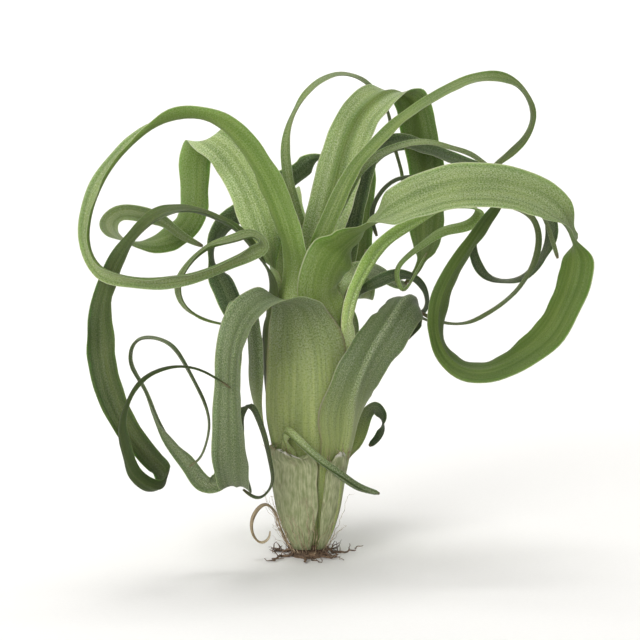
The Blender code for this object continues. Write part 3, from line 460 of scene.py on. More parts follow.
            (-2, 14, 33), (-3, 18, 40), (-3, 23, 43), (-2, 28, 41), (-1, 30, 35), (-2, 28, 29),
            (-4, 24, 27), (-6, 22, 30),
        ],
    ),
    "leaf_back_low": Leaf(
        azimuth=72, layer=2, wrap=46, leaves_at=40, width=11, taper=0.6,
        channel=[(0, 40), (0.3, 45), (0.5, 40), (1, 30)],
        points=[
            (6, 20, 50), (8, 27, 58), (9, 34, 60), (9, 41, 56), (8, 44, 47), (7, 43, 38), (5, 39, 31),
            (4, 34, 28), (4, 30, 31), (5, 30, 36), (6, 33, 39),
        ],
    ),
    "leaf_back_broad": Leaf(
        azimuth=92, layer=3, wrap=42, leaves_at=54, width=10.5, taper=0.55,
        channel=[(0, 40), (0.5, 40), (1, 30)],
        points=[
            (-2, 17, 64), (-3, 25, 71), (-5, 33, 72), (-7, 40, 66), (-8, 44, 56), (-8, 45, 44),
            (-8, 44, 33), (-8, 41, 23), (-6, 36, 16), (-3, 31, 14), (0, 28, 17), (1, 29, 22), (-1, 32, 25),
        ],
    ),
    "leaf_back_loop": Leaf(
        azimuth=100, layer=4, wrap=47, leaves_at=62, width=8, taper=0.6,
        channel=[(0, 35), (0.5, 45), (1, 30)],
        points=[
            (-2, 16, 74), (-3, 25, 86), (-5, 36, 96), (-6, 47, 101), (-6, 58, 98), (-4, 66, 88),
            (-1, 69, 76), (4, 67, 64), (8, 62, 55), (11, 56, 51), (13, 50, 56), (12, 45, 65), (6, 43, 70),
            (0, 43, 69), (-3, 47, 63),
        ],
    ),
    "leaf_back_tall": Leaf(
        azimuth=85, layer=5, wrap=57, leaves_at=68, width=12, channel=[(0, 30), (0.5, 30), (1, 30)],
        points=[
            (2, 18, 79), (4, 26, 91), (9, 35, 102), (13, 45, 109), (15, 55, 110), (16, 63, 104),
            (16, 68, 94), (16, 69, 84), (16, 67, 75), (16, 62, 69), (17, 56, 68), (18, 51, 72),
            (18, 49, 78), (17, 51, 83),
        ],
    ),
    "leaf_back_left": Leaf(
        azimuth=152, layer=7, wrap=20, leaves_at=70, width=5.5, channel=[(0, 35), (1, 25)],
        points=[
            (-8.5, 9, 80), (-9.5, 17, 90), (-11.5, 29, 98), (-13, 42, 101), (-14, 52, 97), (-13, 57, 88),
            (-11, 57, 79), (-9, 52, 71), (-7, 47, 67), (-5, 42, 70), (-5.5, 39, 76), (-8, 40, 80),
        ],
    ),
    "sheath_left": Leaf(
        azimuth=-117.5, layer=0, wrap=41.5, leaves_at=28.5, width=17, foot=0.8, neck=0.9, tip=7,
        taper=0.25, shed=3, hugs=True, slot="old_sheath", channel=[(0, 60), (1, 50)],
        points=[(-7, -12.5, 30.5), (-7, -13, 32)],
    ),
    "sheath_right": Leaf(
        azimuth=-49, layer=0, wrap=21, leaves_at=24, width=8, foot=0.8, neck=0.85, tip=1.2, shed=3,
        hugs=True, slot="old_sheath", channel=[(0, 45), (1, 40)],
        points=[(8.5, -10.5, 28.5), (9, -11.5, 31.5)],
    ),
    "sheath_back": Leaf(
        azimuth=108, layer=0, wrap=52, leaves_at=15, width=13, foot=0.8, neck=0.9, tip=1.5, taper=0.45,
        shed=3, hugs=True, slot="old_sheath", channel=[(0, 60), (1, 50)],
        points=[(-3.5, 11, 19), (-3.5, 11.5, 21.5)],
    ),
    "dry_curl": Leaf(
        azimuth=-170, layer=0, wrap=4, leaves_at=11, width=2.6, foot=1, neck=1, shed=3, slot="dry_leaf",
        channel=[(0, 40), (1, 40)],
        points=[
            (-10.5, -2.5, 14), (-12, -3, 15), (-14.5, -4, 13.5), (-16, -4.5, 10), (-15.5, -4.5, 6.5),
            (-13.5, -4, 4.5), (-11.5, -3.5, 5.5), (-11, -3, 7.5),
        ],
    ),
}


def unit(vector):
    return vector / np.linalg.norm(vector)


def ease(x, low=0.0, high=1.0):
    """0 below low, 1 above high, and a smooth step between them."""
    x = np.clip((np.asarray(x, float) - low) / (high - low), 0, 1)
    return x * x * (3 - 2 * x)


def keyed(keys, x):
    """The keys' values at x, eased from one key to the next."""
    places, values = (np.array(column, float) for column in zip(*keys))
    x = np.clip(x, places[0], places[-1])
    i = np.clip(np.searchsorted(places, x, side="right") - 1, 0, len(places) - 2)
    share = ease((x - places[i]) / (places[i + 1] - places[i]))
    return values[i] + (values[i + 1] - values[i]) * share


def stacked(*values):
    """Values over the same rows and columns, side by side on one more axis."""
    return np.stack(np.broadcast_arrays(*values), axis=-1)


def round_axis(distance, turn, height):
    """Points at a distance from the upright axis."""
    return stacked(distance * np.cos(turn), distance * np.sin(turn), height)


def drift(along, wavelength, draw):
    """A slow wander between about -1 and 1 along a leaf."""
    total = np.zeros_like(along)
    for stretch in (1.0, 0.61, 1.7):
        total += np.sin(math.tau * along / (wavelength * stretch) + draw.uniform(0, math.tau))
    return total / 2


def lengths_along(points):
    """The length of the line of points up to each one."""
    return np.concatenate([[0.0], np.cumsum(np.linalg.norm(np.diff(points, axis=0), axis=1))])


def smooth_curve(points, step):
    """A natural cubic spline through the points, read about every step."""
    points = np.asarray(points, float)
    knots = lengths_along(points)
    gaps = np.diff(knots)
    count = len(points)
    system = np.eye(count)
    pull = np.zeros_like(points)
    slopes = np.diff(points, axis=0) / gaps[:, None]
    for i in range(1, count - 1):
        system[i, i - 1 : i + 2] = gaps[i - 1], 2 * (gaps[i - 1] + gaps[i]), gaps[i]
        pull[i] = 6 * (slopes[i] - slopes[i - 1])
    bends = np.linalg.solve(system, pull)
    reads = np.linspace(0, knots[-1], int(knots[-1] / step) + 2)
    i = np.clip(np.searchsorted(knots, reads) - 1, 0, count - 2)
    after = (reads - knots[i])[:, None]
    before = (knots[i + 1] - reads)[:, None]
    gap = gaps[i][:, None]
    cubic = (bends[i] * before**3 + bends[i + 1] * after**3) / (6 * gap)
    from_start = (points[i] / gap - bends[i] * gap / 6) * before
    from_end = (points[i + 1] / gap - bends[i + 1] * gap / 6) * after
    return cubic + from_start + from_end


def even_curve(points, step):
    """The smooth curve with its points evenly spaced, and each one's length along it."""
    dense = smooth_curve(points, step / 2)
    along = lengths_along(dense)
    reads = np.linspace(0, along[-1], max(int(along[-1] / step), 4))
    return np.stack([np.interp(reads, along, dense[:, axis]) for axis in range(3)], axis=1), reads


def layer_radius(height, layer):
    """How far a layer of the bulb is from the axis."""
    heights, radii = zip(*BULB_PROFILE)
    return np.interp(height, heights, radii) - layer * LAYER_PITCH


def sheath_foot(layer):
    """The height at which a layer is wide enough to pass round the stem."""
    clear = layer_radius(BULB_HEIGHTS, layer) >= STEM_RADIUS + STEM_CLEARANCE
    return max(float(BULB_HEIGHTS[np.argmax(clear)]), LEAF_FLOOR)


def cross_directions(path, along, outward, first_free, settle):
    """The line's own direction at each point, the one across the leaf and the one to its upper side.

    On the bulb they follow its surface. On the blade they are carried along, and slowly turn until the
    blade's flat side faces the inside of its bend.
    """
    tangents = np.gradient(path, along, axis=0)
    tangents /= np.linalg.norm(tangents, axis=1)[:, None]
    turning = np.gradient(tangents, along, axis=0)
    across = np.zeros_like(path)
    across[: first_free + 1] = -outward[1], outward[0], 0.0
    for i in range(first_free + 1, len(path)):
        carried = unit(across[i - 1] - tangents[i] * (across[i - 1] @ tangents[i]))
        flat = np.cross(tangents[i], turning[i])
        carried = carried + flat * np.copysign(settle * STEP, flat @ carried)
        across[i] = unit(carried - tangents[i] * (carried @ tangents[i]))
    upper = np.cross(tangents, across)
    upper[: first_free + 1] = -outward
    return tangents, across, upper


def leaf_stations(leaf):
    """The leaf's middle line, with the cross direction, upper side, half width and curl at each point.

    After these come the length from the start of the blade and the share of the blade.
    """
    azimuth = math.radians(leaf.azimuth)
    outward = np.array([math.cos(azimuth), math.sin(azimuth), 0.0])
    low = sheath_foot(leaf.layer)
    heights = np.linspace(low, leaf.leaves_at, SHEATH_KNOTS)
    sheath = [outward * layer_radius(z, leaf.layer) + [0, 0, z] for z in heights]
    path, along = even_curve(sheath + [np.array(point, float) for point in leaf.points], STEP)
    off_bulb = path @ outward > layer_radius(path[:, 2], leaf.layer) + STEP
    first_free = int(np.argmax(off_bulb | (path[:, 2] > leaf.leaves_at)))
    start = along[first_free]
    blade = np.clip((along - start) / (along[-1] - start), 0, 1)

    tangents, across, upper = cross_directions(path, along, outward, first_free, leaf.settle)
    roll = np.radians(keyed(leaf.roll, blade))[:, None]
    rolled = across * np.cos(roll) + upper * np.sin(roll)
    upper = upper * np.cos(roll) - across * np.sin(roll)

    along = along - start
    radius = layer_radius(path[:, 2], leaf.layer)
    rise = np.clip((path[:, 2] - low) / (leaf.leaves_at - low), 0, 1)
    wrap = math.radians(leaf.wrap) * keyed([(0, leaf.foot), (0.5, 1), (1, leaf.neck)], rise)
    narrowing = (1 - blade) ** leaf.taper * keyed(leaf.swell, blade)
    half_blade = 0.5 * (leaf.tip + (leaf.width - leaf.tip) * narrowing)
    shedding = ease(along, 0, leaf.shed) ** leaf.shoulder
    opening = ease(along, leaf.shed, OPENED * leaf.shed) * (not leaf.hugs)
    half = wrap * radius * (1 - shedding) + half_blade * shedding
    channel = np.radians(keyed(leaf.channel, blade))
    curl = (1 - opening) / radius + opening * channel / half_blade
    kept = kept_stations(rolled, tangents, along)
    return [column[kept] for column in (path, rolled, upper, half, curl, along, blade)]


def kept_stations(across, tangents, along):
    """The stations that are kept, closer together where the leaf bends or twists."""
    bend = np.arccos(np.clip((tangents[1:] * tangents[:-1]).sum(1), -1, 1))
    twist = np.arccos(np.clip((across[1:] * across[:-1]).sum(1), -1, 1))
    cost = np.maximum(np.diff(along) / FACET, np.maximum(bend, twist) / LARGEST_TURN)
    cost = np.concatenate([[0.0], np.cumsum(cost)])
    count = int(math.ceil(cost[-1])) + 1
    return np.unique(np.searchsorted(cost, np.linspace(0, cost[-1], count) - 1e-9))


def torn_top(shares, columns, notches):
    """Draws a short sheath's columns back from its top edge by uneven lengths, alike on both sides."""
    row_count = len(columns)
    back = LARGEST_TEAR * np.interp(shares[0], np.linspace(-1, 1, TEAR_COUNT), notches)
    rise = np.linspace(0, 1, row_count)[:, None]
    reads = np.clip((row_count - 1) * rise * (1 - back * rise**3), 0, row_count - 1.001)
    low = reads.astype(int)
    part = (reads - low)[..., None]
    column = np.arange(columns.shape[1])[None, :]
    return columns[low, column] * (1 - part) + columns[low + 1, column] * part


def leaf_surface(leaf, draw, crease):
    """Rows of points round the leaf's section, with each one's place on the leaf.

    A row runs over the upper side from the first margin to the second, and back under it.
    """
    path, across, upper, half, curl, along, blade = leaf_stations(leaf)
    free = ease(blade, *WAVING_FROM)[:, None] * (not leaf.hugs)
    width_drift = WIDTH_DRIFT * drift(along, DRIFT_LENGTH, draw)[:, None] * free

    facets = HUGGING_ACROSS if leaf.hugs else ACROSS
    side = np.sin(np.linspace(-math.pi / 2, math.pi / 2, facets + 1))
    share = np.concatenate([side, side[-2:0:-1]])[None, :]
    facing = np.concatenate([np.ones(facets + 1), -np.ones(facets - 1)])[None, :]
    turn = share * (half * curl)[:, None] * (1 + width_drift)
    thickness = np.minimum(THICKNESS, 2 * half * LARGEST_SHARE)[:, None]
    body = np.sqrt(np.clip(1 - share**2, 0, 1))
    lens = MARGIN_THICKNESS * body + (thickness - MARGIN_THICKNESS) * body**LENS_POWER
    ribs = RIB_HEIGHT * np.cos(math.tau * share * leaf.width / 2 / RIB_SPACING) * body
    ribs = ribs * (thickness / THICKNESS)
    waves = [drift(along, WAVE_LENGTH, draw)[:, None] for _ in range(2)]
    wave = np.where(share > 0, *waves) * np.abs(share) ** 3
    lift = WAVE_HEIGHT * wave * free * np.minimum(1, half / WAVING_HALF)[:, None]
    offset = facing * lens / 2 + ribs + lift
    # The crease's last value paints light along it: a pale highlight where it is above 0, painted shade
    # where it is below 0.
    painted_crease_light = np.zeros(offset.shape)
    if crease:
        depth, centre, low, high, pale = crease
        fold = ease(blade, low, low + CREASE_END) * (1 - ease(blade, high - CREASE_END, high))
        fold = fold[:, None] * np.exp(-((share - centre) / CREASE_WIDTH) ** 2)
        offset = offset + depth * fold
        painted_crease_light = pale * fold

    sine, cosine = np.sin(turn)[..., None], np.cos(turn)[..., None]
    across, upper, curl = across[:, None], upper[:, None], curl[:, None, None]
    middle = path[:, None] + sine / curl * across + (1 - cosine) / curl * upper
    rows = middle + (cosine * upper - sine * across) * offset[..., None]
    spread = stacked(share * leaf.width / 2, along[:, None])
    place = stacked(np.abs(share), blade[:, None], (facing + 1) / 2, painted_crease_light)
    parts = [rows, spread, place]
    if leaf.hugs:
        notches = draw.uniform(0, 1, TEAR_COUNT) ** 2
        parts = [torn_top(share, part, notches) for part in parts]
    return parts


def tube_faces(row_count, row_length):
    """Quads of a tube of closed rows, and the strips that close its two ends."""
    low = np.arange(row_count - 1)[:, None] * row_length
    high = low + row_length
    here = np.arange(row_length)[None, :]
    after = (here + 1) % row_length
    sides = stacked(low + here, low + after, high + after, high + here)
    caps = []
    for first, turned in ((0, False), ((row_count - 1) * row_length, True)):
        for i in range(row_length // 2):
            strip = [i, (row_length - i) % row_length, row_length - i - 1, i + 1]
            strip = list(dict.fromkeys(first + corner for corner in strip))
            caps.append(strip[::-1] if turned else strip)
    return sides.reshape(-1, 4).tolist() + caps


def row_mesh(name, rows, faces):
    mesh = bpy.data.meshes.new(name)
    mesh.from_pydata((rows.reshape(-1, 3) * MM).tolist(), [], faces)
    return mesh


class Wire:
    """A value in a node tree, so that its maths reads as an expression."""

    def __init__(self, nodes, socket):
        self.nodes = nodes
        self.socket = socket

    def maths(self, operation, *values):
        return self.nodes.node("ShaderNodeMath", {"operation": operation}, *values)

    def __add__(self, other):
        return self.maths("ADD", self, other)

    __radd__ = __add__

    def __sub__(self, other):
        return self.maths("SUBTRACT", self, other)

    def __rsub__(self, other):
        return self.maths("SUBTRACT", other, self)

    def __mul__(self, other):
        return self.maths("MULTIPLY", self, other)

    __rmul__ = __mul__

    def output(self, number):
        """Another output of the node that this value comes from."""
        return Wire(self.nodes, self.socket.node.outputs[number])

    def between(self, low, high):
        """0 at low and 1 at high, eased."""
        settings = {"interpolation_type": "SMOOTHSTEP"}
        return self.nodes.node("ShaderNodeMapRange", settings, self, low, high)


class NodeMaker:
    """A node tree whose nodes are made by one method and joined by expressions."""

    def __init__(self, tree):
        self.tree = tree

    def node(self, kind, settings=None, *values, out=0, **named):
        """Adds a node: its settings first, then its sockets in order or by name. Gives one output."""
        node = self.tree.nodes.new(kind)
        for key, value in (settings or {}).items():
            setattr(node, key, value)
        for number, value in enumerate(values):
            self.join(value, node.inputs[number])
        for key, value in named.items():
            self.join(value, node.inputs[key.replace("_", " ")])
        return Wire(self, node.outputs[out])

    def join(self, value, socket):
        if isinstance(value, Wire):
            self.tree.links.new(value.socket, socket)
        elif value is not None:
            socket.default_value = value

    def vector(self, x, y, z):
        return self.node("ShaderNodeCombineXYZ", None, x, y, z)

    def split(self, wire):
        """The three parts of a vector."""
        parts = self.node("ShaderNodeSeparateXYZ", None, wire)
        return [parts.output(number) for number in range(3)]

    def scaled(self, vector, factor):
        """A vector or a colour times a factor."""
        return self.node("ShaderNodeVectorMath", {"operation": "SCALE"}, vector, Scale=factor)


class Shader(NodeMaker):
    """A material round one Principled surface."""

    def __init__(self, name):
        self.material = bpy.data.materials.new(name)
        self.material.use_nodes = True
        super().__init__(self.material.node_tree)
        self.surface = self.tree.nodes["Principled BSDF"]

    def attribute(self, name, out):
        return self.node("ShaderNodeAttribute", {"attribute_name": name}, out=out)

    def leaf_place(self):
        """The mm across the leaf, and the mm along it from the start of its blade."""
        return self.split(self.node("ShaderNodeUVMap", {"uv_map": "leaf"}))[:2]

    def object_place(self):
        return self.split(self.node("ShaderNodeTexCoord", out=3))

    def mix(self, first, second, share):
        """A colour that goes from the first to the second."""
        node = self.tree.nodes.new("ShaderNodeMix")
        node.data_type = "RGBA"
        self.join(share, node.inputs["Factor"])
        for colour, socket in ((first, node.inputs[6]), (second, node.inputs[7])):
            self.join((*colour, 1) if isinstance(colour, tuple) else colour, socket)
        return Wire(self, node.outputs[2])

    def noise(self, x, y, z, detail=2.0, roughness=0.5):
        """Noise in a space that is given as three numbers or wires."""
        values = {"Vector": self.vector(x, y, z), "Scale": 1.0, "Detail": detail, "Roughness": roughness}
        return self.node("ShaderNodeTexNoise", None, **values)

    def fine_noise(self, scale, detail):
        """Noise all through the piece, at a scale that is given per metre."""
        x, y, z = self.object_place()
        return self.noise(x * scale, y * scale, z * scale, detail)

    def set(self, **values):
        for key, value in values.items():
            self.join(value, self.surface.inputs[key.replace("_", " ")])

    def bump(self, height, distance, strength):
        bump = self.node("ShaderNodeBump", None, Strength=strength, Distance=distance, Height=height)
        self.set(Normal=bump)


class Growth(NodeMaker):
    """A Geometry Nodes tree with named inputs, which is run once and leaves a plain mesh."""

    def __init__(self, name):
        super().__init__(bpy.data.node_groups.new(name, "GeometryNodeTree"))
        for side in ("INPUT", "OUTPUT"):
            self.tree.interface.new_socket("Mesh", in_out=side, socket_type="NodeSocketGeometry")
        self.entry = self.tree.nodes.new("NodeGroupInput")
        self.sockets = {}

    def take(self, name, kind="NodeSocketFloat"):
        """A named input, and the wire that carries it."""
        self.sockets[name] = self.tree.interface.new_socket(name, in_out="INPUT", socket_type=kind)
        return Wire(self, self.entry.outputs[name])

    def finish(self, geometry, material):
        realized = self.node("GeometryNodeRealizeInstances", None, geometry)
        smooth = self.node("GeometryNodeSetShadeSmooth", None, realized)
        coated = self.node("GeometryNodeSetMaterial", None, smooth, Material=material)
        self.tree.links.new(coated.socket, self.tree.nodes.new("NodeGroupOutput").inputs[0])

    def run(self, name, mesh, values):
        """The mesh that the tree makes from another one."""
        source = bpy.data.objects.new(name + "_lines", mesh)
        bpy.context.scene.collection.objects.link(source)
        growth = source.modifiers.new("growth", "NODES")
        growth.node_group = self.tree
        for key, value in values.items():
            growth[self.sockets[key].identifier] = value
        source.update_tag()
        evaluated = source.evaluated_get(bpy.context.evaluated_depsgraph_get())
        grown = bpy.data.meshes.new_from_object(evaluated)
        grown.name = name
        source.modifiers.remove(growth)
        bpy.data.objects.remove(source, do_unlink=True)
        return grown


def strand_growth():
    """Wiry strands along lines: they wander, taper and sprout finer ones, and stay above the foot."""
    growth = Growth("strands")
    thickness = growth.take("Thickness")
    wander = growth.take("Wander")
    sprouts = growth.take("Sprouts", "NodeSocketInt")
    reach = growth.take("Sprout reach")
    seed = growth.take("Seed", "NodeSocketInt")
    material = growth.take("Material", "NodeSocketMaterial")
    share = growth.node("GeometryNodeSplineParameter")

    def wandering(curve, amount):
        values = {"Vector": growth.node("GeometryNodeInputPosition"), "Scale": WANDER_SCALE, "Detail": 1.0}
        noise = growth.node("ShaderNodeTexNoise", None, out=1, **values)
        centred = growth.node("ShaderNodeVectorMath", {"operation": "SUBTRACT"}, noise, (0.5, 0.5, 0.5))
        offset = growth.scaled(centred, amount * WANDER_GAIN)
        moved = growth.node("GeometryNodeSetPosition", None, curve, Offset=offset)
        x, y, z = growth.split(growth.node("GeometryNodeInputPosition"))
        above = growth.vector(x, y, z.maths("MAXIMUM", z, thickness))
        return growth.node("GeometryNodeSetPosition", None, moved, Position=above)

    def skinned(curve, radius, sides):
        ring = growth.node("GeometryNodeCurvePrimitiveCircle", None, sides, Radius=1.0)
        tapered = radius * (1.0 - share * STRAND_TAPER)
        return growth.node("GeometryNodeCurveToMesh", None, curve, ring, tapered, True)

    lines = growth.node("GeometryNodeMeshToCurve", None, Wire(growth, growth.entry.outputs[0]))
    even = {"mode": "LENGTH"}
    lines = growth.node("GeometryNodeResampleCurve", even, lines, None, None, STRAND_STEP * MM)
    strands = wandering(lines, wander)
    points = growth.node("GeometryNodeCurveToPoints", None, strands, sprouts)
    bowed = growth.vector(0, reach * 0.2, reach * 0.6)
    ended = growth.vector(reach * 0.15, reach * 0.5, reach)
    bow = [SPROUT_POINTS, (0, 0, 0), bowed, ended]
    sprout = growth.node("GeometryNodeCurveQuadraticBezier", None, *bow)
    vectors = {"data_type": "FLOAT_VECTOR"}
    turn = growth.node("FunctionNodeRandomValue", vectors, *SPROUT_TURNS, Seed=seed)
    sizes = [(size,) * 3 for size in SPROUT_SIZES]
    size = growth.node("FunctionNodeRandomValue", vectors, *sizes, Seed=seed + 1)
    turn = growth.node("FunctionNodeEulerToRotation", None, turn)
    placed = [points, None, sprout, None, None, turn, size]
    finer = growth.node("GeometryNodeInstanceOnPoints", None, *placed)
    finer = growth.node("GeometryNodeRealizeInstances", None, finer)
    finer = skinned(wandering(finer, wander * SPROUT_WANDER), thickness * SPROUT_RADIUS, SPROUT_SIDES)
    joined = growth.node("GeometryNodeJoinGeometry", None, skinned(strands, thickness, STRAND_SIDES))
    growth.join(finer, joined.socket.node.inputs[0])
    growth.finish(joined, material)
    return growth


def line_mesh(name, lines):
    """Lines of points, as the edges of a mesh."""
    mesh = bpy.data.meshes.new(name)
    edges = []
    first = 0
    for line in lines:
        edges += [(first + i, first + i + 1) for i in range(len(line) - 1)]
        first += len(line)
    mesh.from_pydata((np.concatenate(lines) * MM).tolist(), edges, [])
    return mesh


def main_root(index, draw):
    """The middle of one strong root: out of the foot, down to the surface and along it."""
    heading = math.tau * (index + draw.uniform(-0.2, 0.2)) / ROOT_COUNT
    reach = ROOT_REACH * draw.uniform(0.75, 1.1)
    bow = draw.uniform(-0.5, 0.5)
    share = np.linspace(0, 1, LINE_POINTS)
    distance = ROOT_START + (reach - ROOT_START) * share
    height = ROOT_RADIUS + ROOT_DROP * (1 - ease(share, 0.1, 0.55))
    return round_axis(distance, heading + bow * share * share, height)


def fine_root(draw):
    """A thin root that leaves the foot a little higher and bends down to the surface."""
    share = np.linspace(0, 1, FINE_ROOT_POINTS)
    reach = draw.uniform(3.0, 8.5)
    heading = draw.uniform(0, math.tau)
    bow = draw.uniform(-0.9, 0.9)
    top = draw.uniform(0.8, 3.2)
    landing = draw.uniform(0.35, 0.9)  # share of the root at which it meets the surface
    height = top * (1 - ease(share, 0, landing)) + 0.2
    return round_axis(3.5 + reach * share, heading + bow * share**2, height)


def old_fibre(draw):
    """A dry fibre of a rotted sheath: up along the bulb from its foot and off it at its end."""
    share = np.linspace(0, 1, LINE_POINTS)
    low = draw.uniform(0.5, 4.0)
    length = draw.uniform(4.0, 19.0)
    side = draw.normal(FIBRE_SIDE, 1.1)
    lean = draw.uniform(-0.35, 0.35)
    height = low + length * share
    lift = 0.45 + draw.uniform(0.0, 3.2) * share**3
    return round_axis(layer_radius(height, 0) + lift, side + lean * share, height)


def edge_shred(leaf, draw):
    """A thread that stands up from the torn top edge of a short sheath."""
    share = np.linspace(0, 1, SHRED_POINTS)
    low = leaf.points[-1][2] - draw.uniform(0.6, 3.2)
    length = draw.uniform(0.8, 3.6)
    side = math.radians(leaf.azimuth + leaf.wrap * 0.8 * draw.uniform(-1, 1))
    lean = draw.uniform(-0.18, 0.18)
    height = low + length * share
    lift = 0.35 + draw.uniform(-0.1, 0.9) * share**2
    return round_axis(layer_radius(height, leaf.layer) + lift, side + lean * share, height)


def stem_mesh(draw):
    """The hidden stem with its flat, knobbly foot."""
    corners = range(len(STEM_PROFILE))
    reads = np.linspace(0, corners[-1], STEM_ROWS)
    radius, height = (np.interp(reads, corners, column)[:, None] for column in zip(*STEM_PROFILE))
    turn = np.linspace(0, math.tau, STEM_COLUMNS, endpoint=False)[None, :]
    knobs = 1 - KNOB_DEPTH * draw.uniform(0, 1, (STEM_ROWS, STEM_COLUMNS))
    return row_mesh("stem", round_axis(radius * knobs, turn, height), tube_faces(STEM_ROWS, STEM_COLUMNS))


def leaf_material(name, deep, light, silver, below):
    """Living leaf: lengthwise veins, a mealy coat of scales, pale margins and a dried tip, with painted
    light and shade per leaf, along creases and at the necks.
    """
    look = Shader(name)
    place = look.attribute("place", 0)
    edge, blade, upper = look.split(place)
    tone_and_painted_light = place.output(3)
    # The silver attribute carries each leaf's silver share together with the painted crease light.
    silver = silver * look.attribute("silver", 2)
    across, along = look.leaf_place()
    height = look.object_place()[2]

    bands = look.noise(across * 0.62, along * 0.012, 1.0, 1.0)
    veins = look.noise(across * 1.5, along * 0.022, 3.0, 1.0)
    lines = look.noise(across * 4.2, along * 0.10, 5.0, 1.0)
    scales = look.noise(across * 3.4, along * 2.1, 7.0, 2.0, 0.7)
    patches = look.noise(across * 0.16, along * 0.06, 11.0, 2.0)

    living = (bands * 0.45 + veins * 0.4 + patches * 0.55).between(0.45, 1.0)
    green = look.mix(deep, light, living * (upper * 0.4 + 0.6))
    bulb = look.mix(BULB_LOW, BULB_HIGH, (height * 14 + patches * 0.5).between(0.75, 1.55))
    bulb = look.mix(bulb, light, veins.between(0.42, 0.62) * 0.35)
    bulb_share = along.between(26.0, -6.0)
    green = look.mix(green, bulb, bulb_share * 0.9)
    green = look.mix(green, deep, lines.between(0.54, 0.38) * (0.32 - bulb_share * 0.16))
    side = upper * (1 - below) + below
    # More silver coat towards the top of the bulb: partly its scales, partly painted light that lifts the
    # shade under the arching blades.
    bulb_scales_and_painted_light = height.between(0.042, 0.068) * 0.5 + 0.5
    coat = (side + bulb_share * (bulb_scales_and_painted_light - side)) * (bands.between(0.38, 0.62) * 0.4 + 0.6) * silver
    green = look.mix(green, SCALE_COLOUR, (scales.between(0.42, 0.62) * 0.8 + 0.2) * coat)
    green = look.mix(green, deep, scales.between(0.45, 0.33) * 0.38)
    green = look.mix(green, MARGIN_COLOUR, edge.between(0.93, 0.99) * blade.between(0.0, 0.1) * 0.75)
    # Painted reddish shade on the margins round the neck, where the leaves crowd together.
    neck = along.between(-16.0, -2.0) * along.between(20.0, 4.0)
    green = look.mix(green, NECK_SHADE_COLOUR, edge.between(0.88, 0.98) * neck * 0.5)
    browned = edge.between(0.965, 0.995) * patches.between(0.56, 0.66)
    green = look.mix(green, RUST_COLOUR, browned * 0.7)
    # The per-leaf lightness, partly painted light and shade, together with the painted crease light,
    # scales the colour, which also darkens towards the tip.
    green = look.scaled(green, tone_and_painted_light * (1.08 - blade.between(0.15, 0.85) * 0.40))
    colour = look.mix(green, RUST_COLOUR, blade.between(0.98, 0.998) * 0.65)

    look.set(Base_Color=colour, Roughness=0.50 + scales * 0.15, Specular_IOR_Level=0.20)
    look.set(Sheen_Weight=0.03, Sheen_Roughness=0.5, Sheen_Tint=(0.9, 0.95, 0.85, 1))
    look.set(Subsurface_Weight=0.25, Subsurface_Radius=(0.5, 1.0, 0.1), Subsurface_Scale=0.0011)
    look.bump(bands * 0.5 + veins * 0.7 + lines * 0.25 + scales * 0.35, 0.00022, 0.8)
    return look.material


def papery_material(name, deep, light, bleached):
    """Dead sheath or leaf: fibres, wrinkles, rusty blots and a bleached, torn top edge."""
    look = Shader(name)
    edge, blade, _ = look.split(look.attribute("place", 0))
    across, along = look.leaf_place()
    fibres = look.noise(across * 2.6, along * 0.07, 2.0, 2.0)
    wrinkles = look.noise(across * 0.9, along * 0.35, 6.0, 3.0)
    blots = look.noise(across * 0.25, along * 0.2, 9.0, 2.0)
    colour = look.mix(deep, light, (fibres * 0.6 + wrinkles * 0.8).between(0.5, 0.95))
    colour = look.mix(colour, RUST_COLOUR, blots.between(0.56, 0.72) * 0.45)
    torn = (blade + wrinkles * 0.25).between(0.9, 1.06)
    colour = look.mix(colour, FRAYED_COLOUR, torn * bleached)
    colour = look.mix(colour, RUST_COLOUR, edge.between(0.96, 1.0) * 0.5)
    look.set(Base_Color=colour, Roughness=0.72)
    look.bump(fibres * 0.6 + wrinkles, 0.0005, 0.9)
    return look.material


def fibre_material(name, deep, light):
    """Wiry root or dry fibre: brown, mottled along its length."""
    look = Shader(name)
    mottle = look.fine_noise(600, 3.0)
    grain = look.fine_noise(2600, 2.0)
    colour = look.mix(deep, light, (mottle * 0.7 + grain * 0.5).between(0.42, 0.78))
    look.set(Base_Color=colour, Roughness=0.75)
    look.bump(mottle + grain, 0.0003, 0.8)
    return look.material


def floor_material():
    look = Shader("pale_floor")
    look.set(Base_Color=look.mix(*FLOOR_COLOURS, look.fine_noise(900, 3.0)), Roughness=0.7)
    return look.material


def add_object(name, data):
    thing = bpy.data.objects.new(name, data)
    bpy.context.scene.collection.objects.link(thing)
    return thing


def add_floor():
    """A plain pale floor that sweeps up behind the plant."""
    profile = [(FLOOR_FRONT, 0.0)]
    for step in range(FLOOR_BEND_STEPS + 1):
        turn = math.pi / 2 * step / FLOOR_BEND_STEPS
        profile.append((FLOOR_BACK + FLOOR_BEND * math.sin(turn), FLOOR_BEND * (1 - math.cos(turn))))
    profile.append((FLOOR_BACK + FLOOR_BEND, WALL_TOP))
    corners = [(side * FLOOR_HALF_WIDTH, y, z) for y, z in profile for side in (-1, 1)]
    faces = [(i, i + 1, i + 3, i + 2) for i in range(0, len(corners) - 2, 2)]
    mesh = bpy.data.meshes.new("floor")
    mesh.from_pydata(corners, [], faces)
    mesh.shade_smooth()
    mesh.materials.append(floor_material())
    add_object("floor", mesh)


def aim(thing, place, target):
    thing.location = place
    thing.rotation_euler = (Vector(target) - Vector(place)).to_track_quat("-Z", "Y").to_euler()


def add_light(name, place, size, power, target):
    lamp = bpy.data.lights.new(name, "AREA")
    lamp.shape = "DISK"
    lamp.size = size
    lamp.energy = power
    aim(add_object(name, lamp), place, target)


